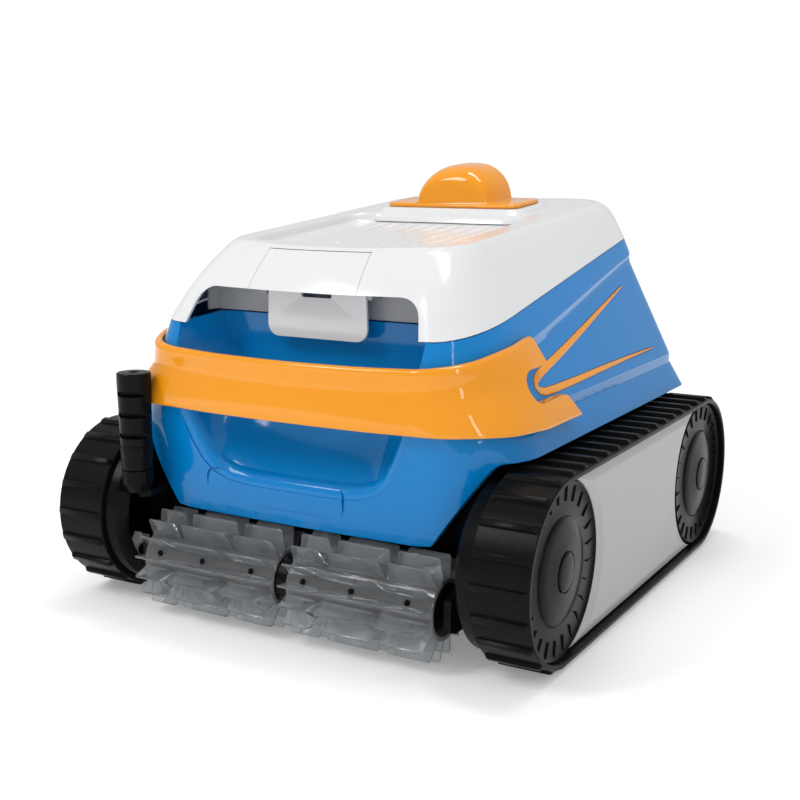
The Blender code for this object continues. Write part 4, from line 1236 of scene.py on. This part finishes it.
class CLEANER_OT_stage(bpy.types.Operator):
    """Pale floor with a painted glow, weak near the cleaner, soft lights and camera"""
    bl_idname = "cleaner.stage"
    bl_label = "Stage"

    def area(self, name, spot, aim, size, power):
        lamp = bpy.data.lights.new(name, "AREA")
        lamp.shape = "RECTANGLE"
        lamp.size, lamp.size_y = size
        lamp.energy = power
        thing = bpy.data.objects.new(name, lamp)
        thing.location = spot
        thing.rotation_euler = (Vector(spot) - Vector(aim)).to_track_quat("Z", "Y").to_euler()
        bpy.context.scene.collection.objects.link(thing)

    def execute(self, context):
        scene = context.scene
        scene.view_settings.view_transform = "Standard"
        floor_mesh = bpy.data.meshes.new("floor")
        floor_mesh.from_pydata([(-6, -6, -0.0005), (6, -6, -0.0005), (6, 6, -0.0005),
                                (-6, 6, -0.0005)], [], [(0, 1, 2, 3)])
        floor = new_object("floor", floor_mesh)
        pale = node_material("floor_painted_glow", (0.93, 0.93, 0.93), 0.7, shade=0.01)
        tree = pale.node_tree
        shader = tree.nodes["Principled BSDF"]
        # Painted glow: the floor emits white light, weak within half a metre of the cleaner and
        # strong from 2.5 m out.
        shader.inputs["Emission Color"].default_value = (1, 1, 1, 1)
        distance = tree.nodes.new("ShaderNodeVectorMath")
        distance.operation = "LENGTH"
        tree.links.new(object_place(tree), distance.inputs[0])
        glow_fade = add_node(tree, "ShaderNodeMapRange", From_Min=0.5, From_Max=2.5, To_Min=0.22,
                        To_Max=0.9)
        glow_fade.interpolation_type = "SMOOTHSTEP"
        tree.links.new(distance.outputs["Value"], glow_fade.inputs["Value"])
        tree.links.new(glow_fade.outputs["Result"], shader.inputs["Emission Strength"])
        floor_mesh.materials.append(pale)
        world = bpy.data.worlds.new("studio")
        world.use_nodes = True
        tree = world.node_tree
        glow = tree.nodes["Background"]
        glow.inputs["Color"].default_value = (1, 1, 1, 1)
        path = tree.nodes.new("ShaderNodeLightPath")
        level = add_node(tree, "ShaderNodeMapRange", To_Min=0.62, To_Max=1.0)
        tree.links.new(path.outputs["Is Camera Ray"], level.inputs["Value"])
        tree.links.new(level.outputs["Result"], glow.inputs["Strength"])
        scene.world = world
        middle = (0, 0, 0.15)
        self.area("key", (-0.9, -1.4, 1.7), middle, (0.5, 0.9), 15.0)
        self.area("fill", (1.8, -0.9, 1.0), middle, (0.12, 1.2), 4.0)
        self.area("top", (0.1, 0.3, 2.0), middle, (1.0, 0.3), 10.5)
        camera = bpy.data.cameras.new("camera")
        camera.lens = 56.16
        camera.sensor_width = 36.0
        view = bpy.data.objects.new("camera", camera)
        turn, rise = math.radians(30.01), math.radians(11.07)
        back = Vector((math.sin(turn) * math.cos(rise), -math.cos(turn) * math.cos(rise),
                       math.sin(rise)))
        view.location = (0.53736, -0.96589 + SHIFT_Y * MM, 0.36775)
        view.rotation_euler = back.to_track_quat("Z", "Y").to_euler()
        scene.collection.objects.link(view)
        scene.camera = view
        return {"FINISHED"}


# ---------------------------------------------------------------- add-on

OPERATORS = (CLEANER_OT_finishes, CLEANER_OT_body, CLEANER_OT_handle, CLEANER_OT_stripes,
             CLEANER_OT_lid, CLEANER_OT_hood, CLEANER_OT_tracks, CLEANER_OT_wheels,
             CLEANER_OT_covers, CLEANER_OT_brushes, CLEANER_OT_boot, CLEANER_OT_stage)


class CLEANER_PT_panel(bpy.types.Panel):
    """Lists the pool cleaner's pieces"""
    bl_label = "Pool Cleaner"
    bl_idname = "CLEANER_PT_panel"
    bl_space_type = "VIEW_3D"
    bl_region_type = "UI"
    bl_category = "Pool Cleaner"

    def draw(self, context):
        for operator in OPERATORS:
            self.layout.operator(operator.bl_idname)
        for group in (context.scene.cleaner_colours, context.scene.cleaner_sizes):
            for name in group.__annotations__:
                self.layout.prop(group, name)


CLASSES = (CleanerColours, CleanerSizes, *OPERATORS, CLEANER_PT_panel)


def register():
    for item in CLASSES:
        bpy.utils.register_class(item)
    bpy.types.Scene.cleaner_colours = PointerProperty(type=CleanerColours)
    bpy.types.Scene.cleaner_sizes = PointerProperty(type=CleanerSizes)


def unregister():
    del bpy.types.Scene.cleaner_sizes
    del bpy.types.Scene.cleaner_colours
    for item in reversed(CLASSES):
        bpy.utils.unregister_class(item)


def main():
    register()
    for operator in OPERATORS:
        group, name = operator.bl_idname.split(".")
        getattr(getattr(bpy.ops, group), name)()


if __name__ == "__main__":
    main()
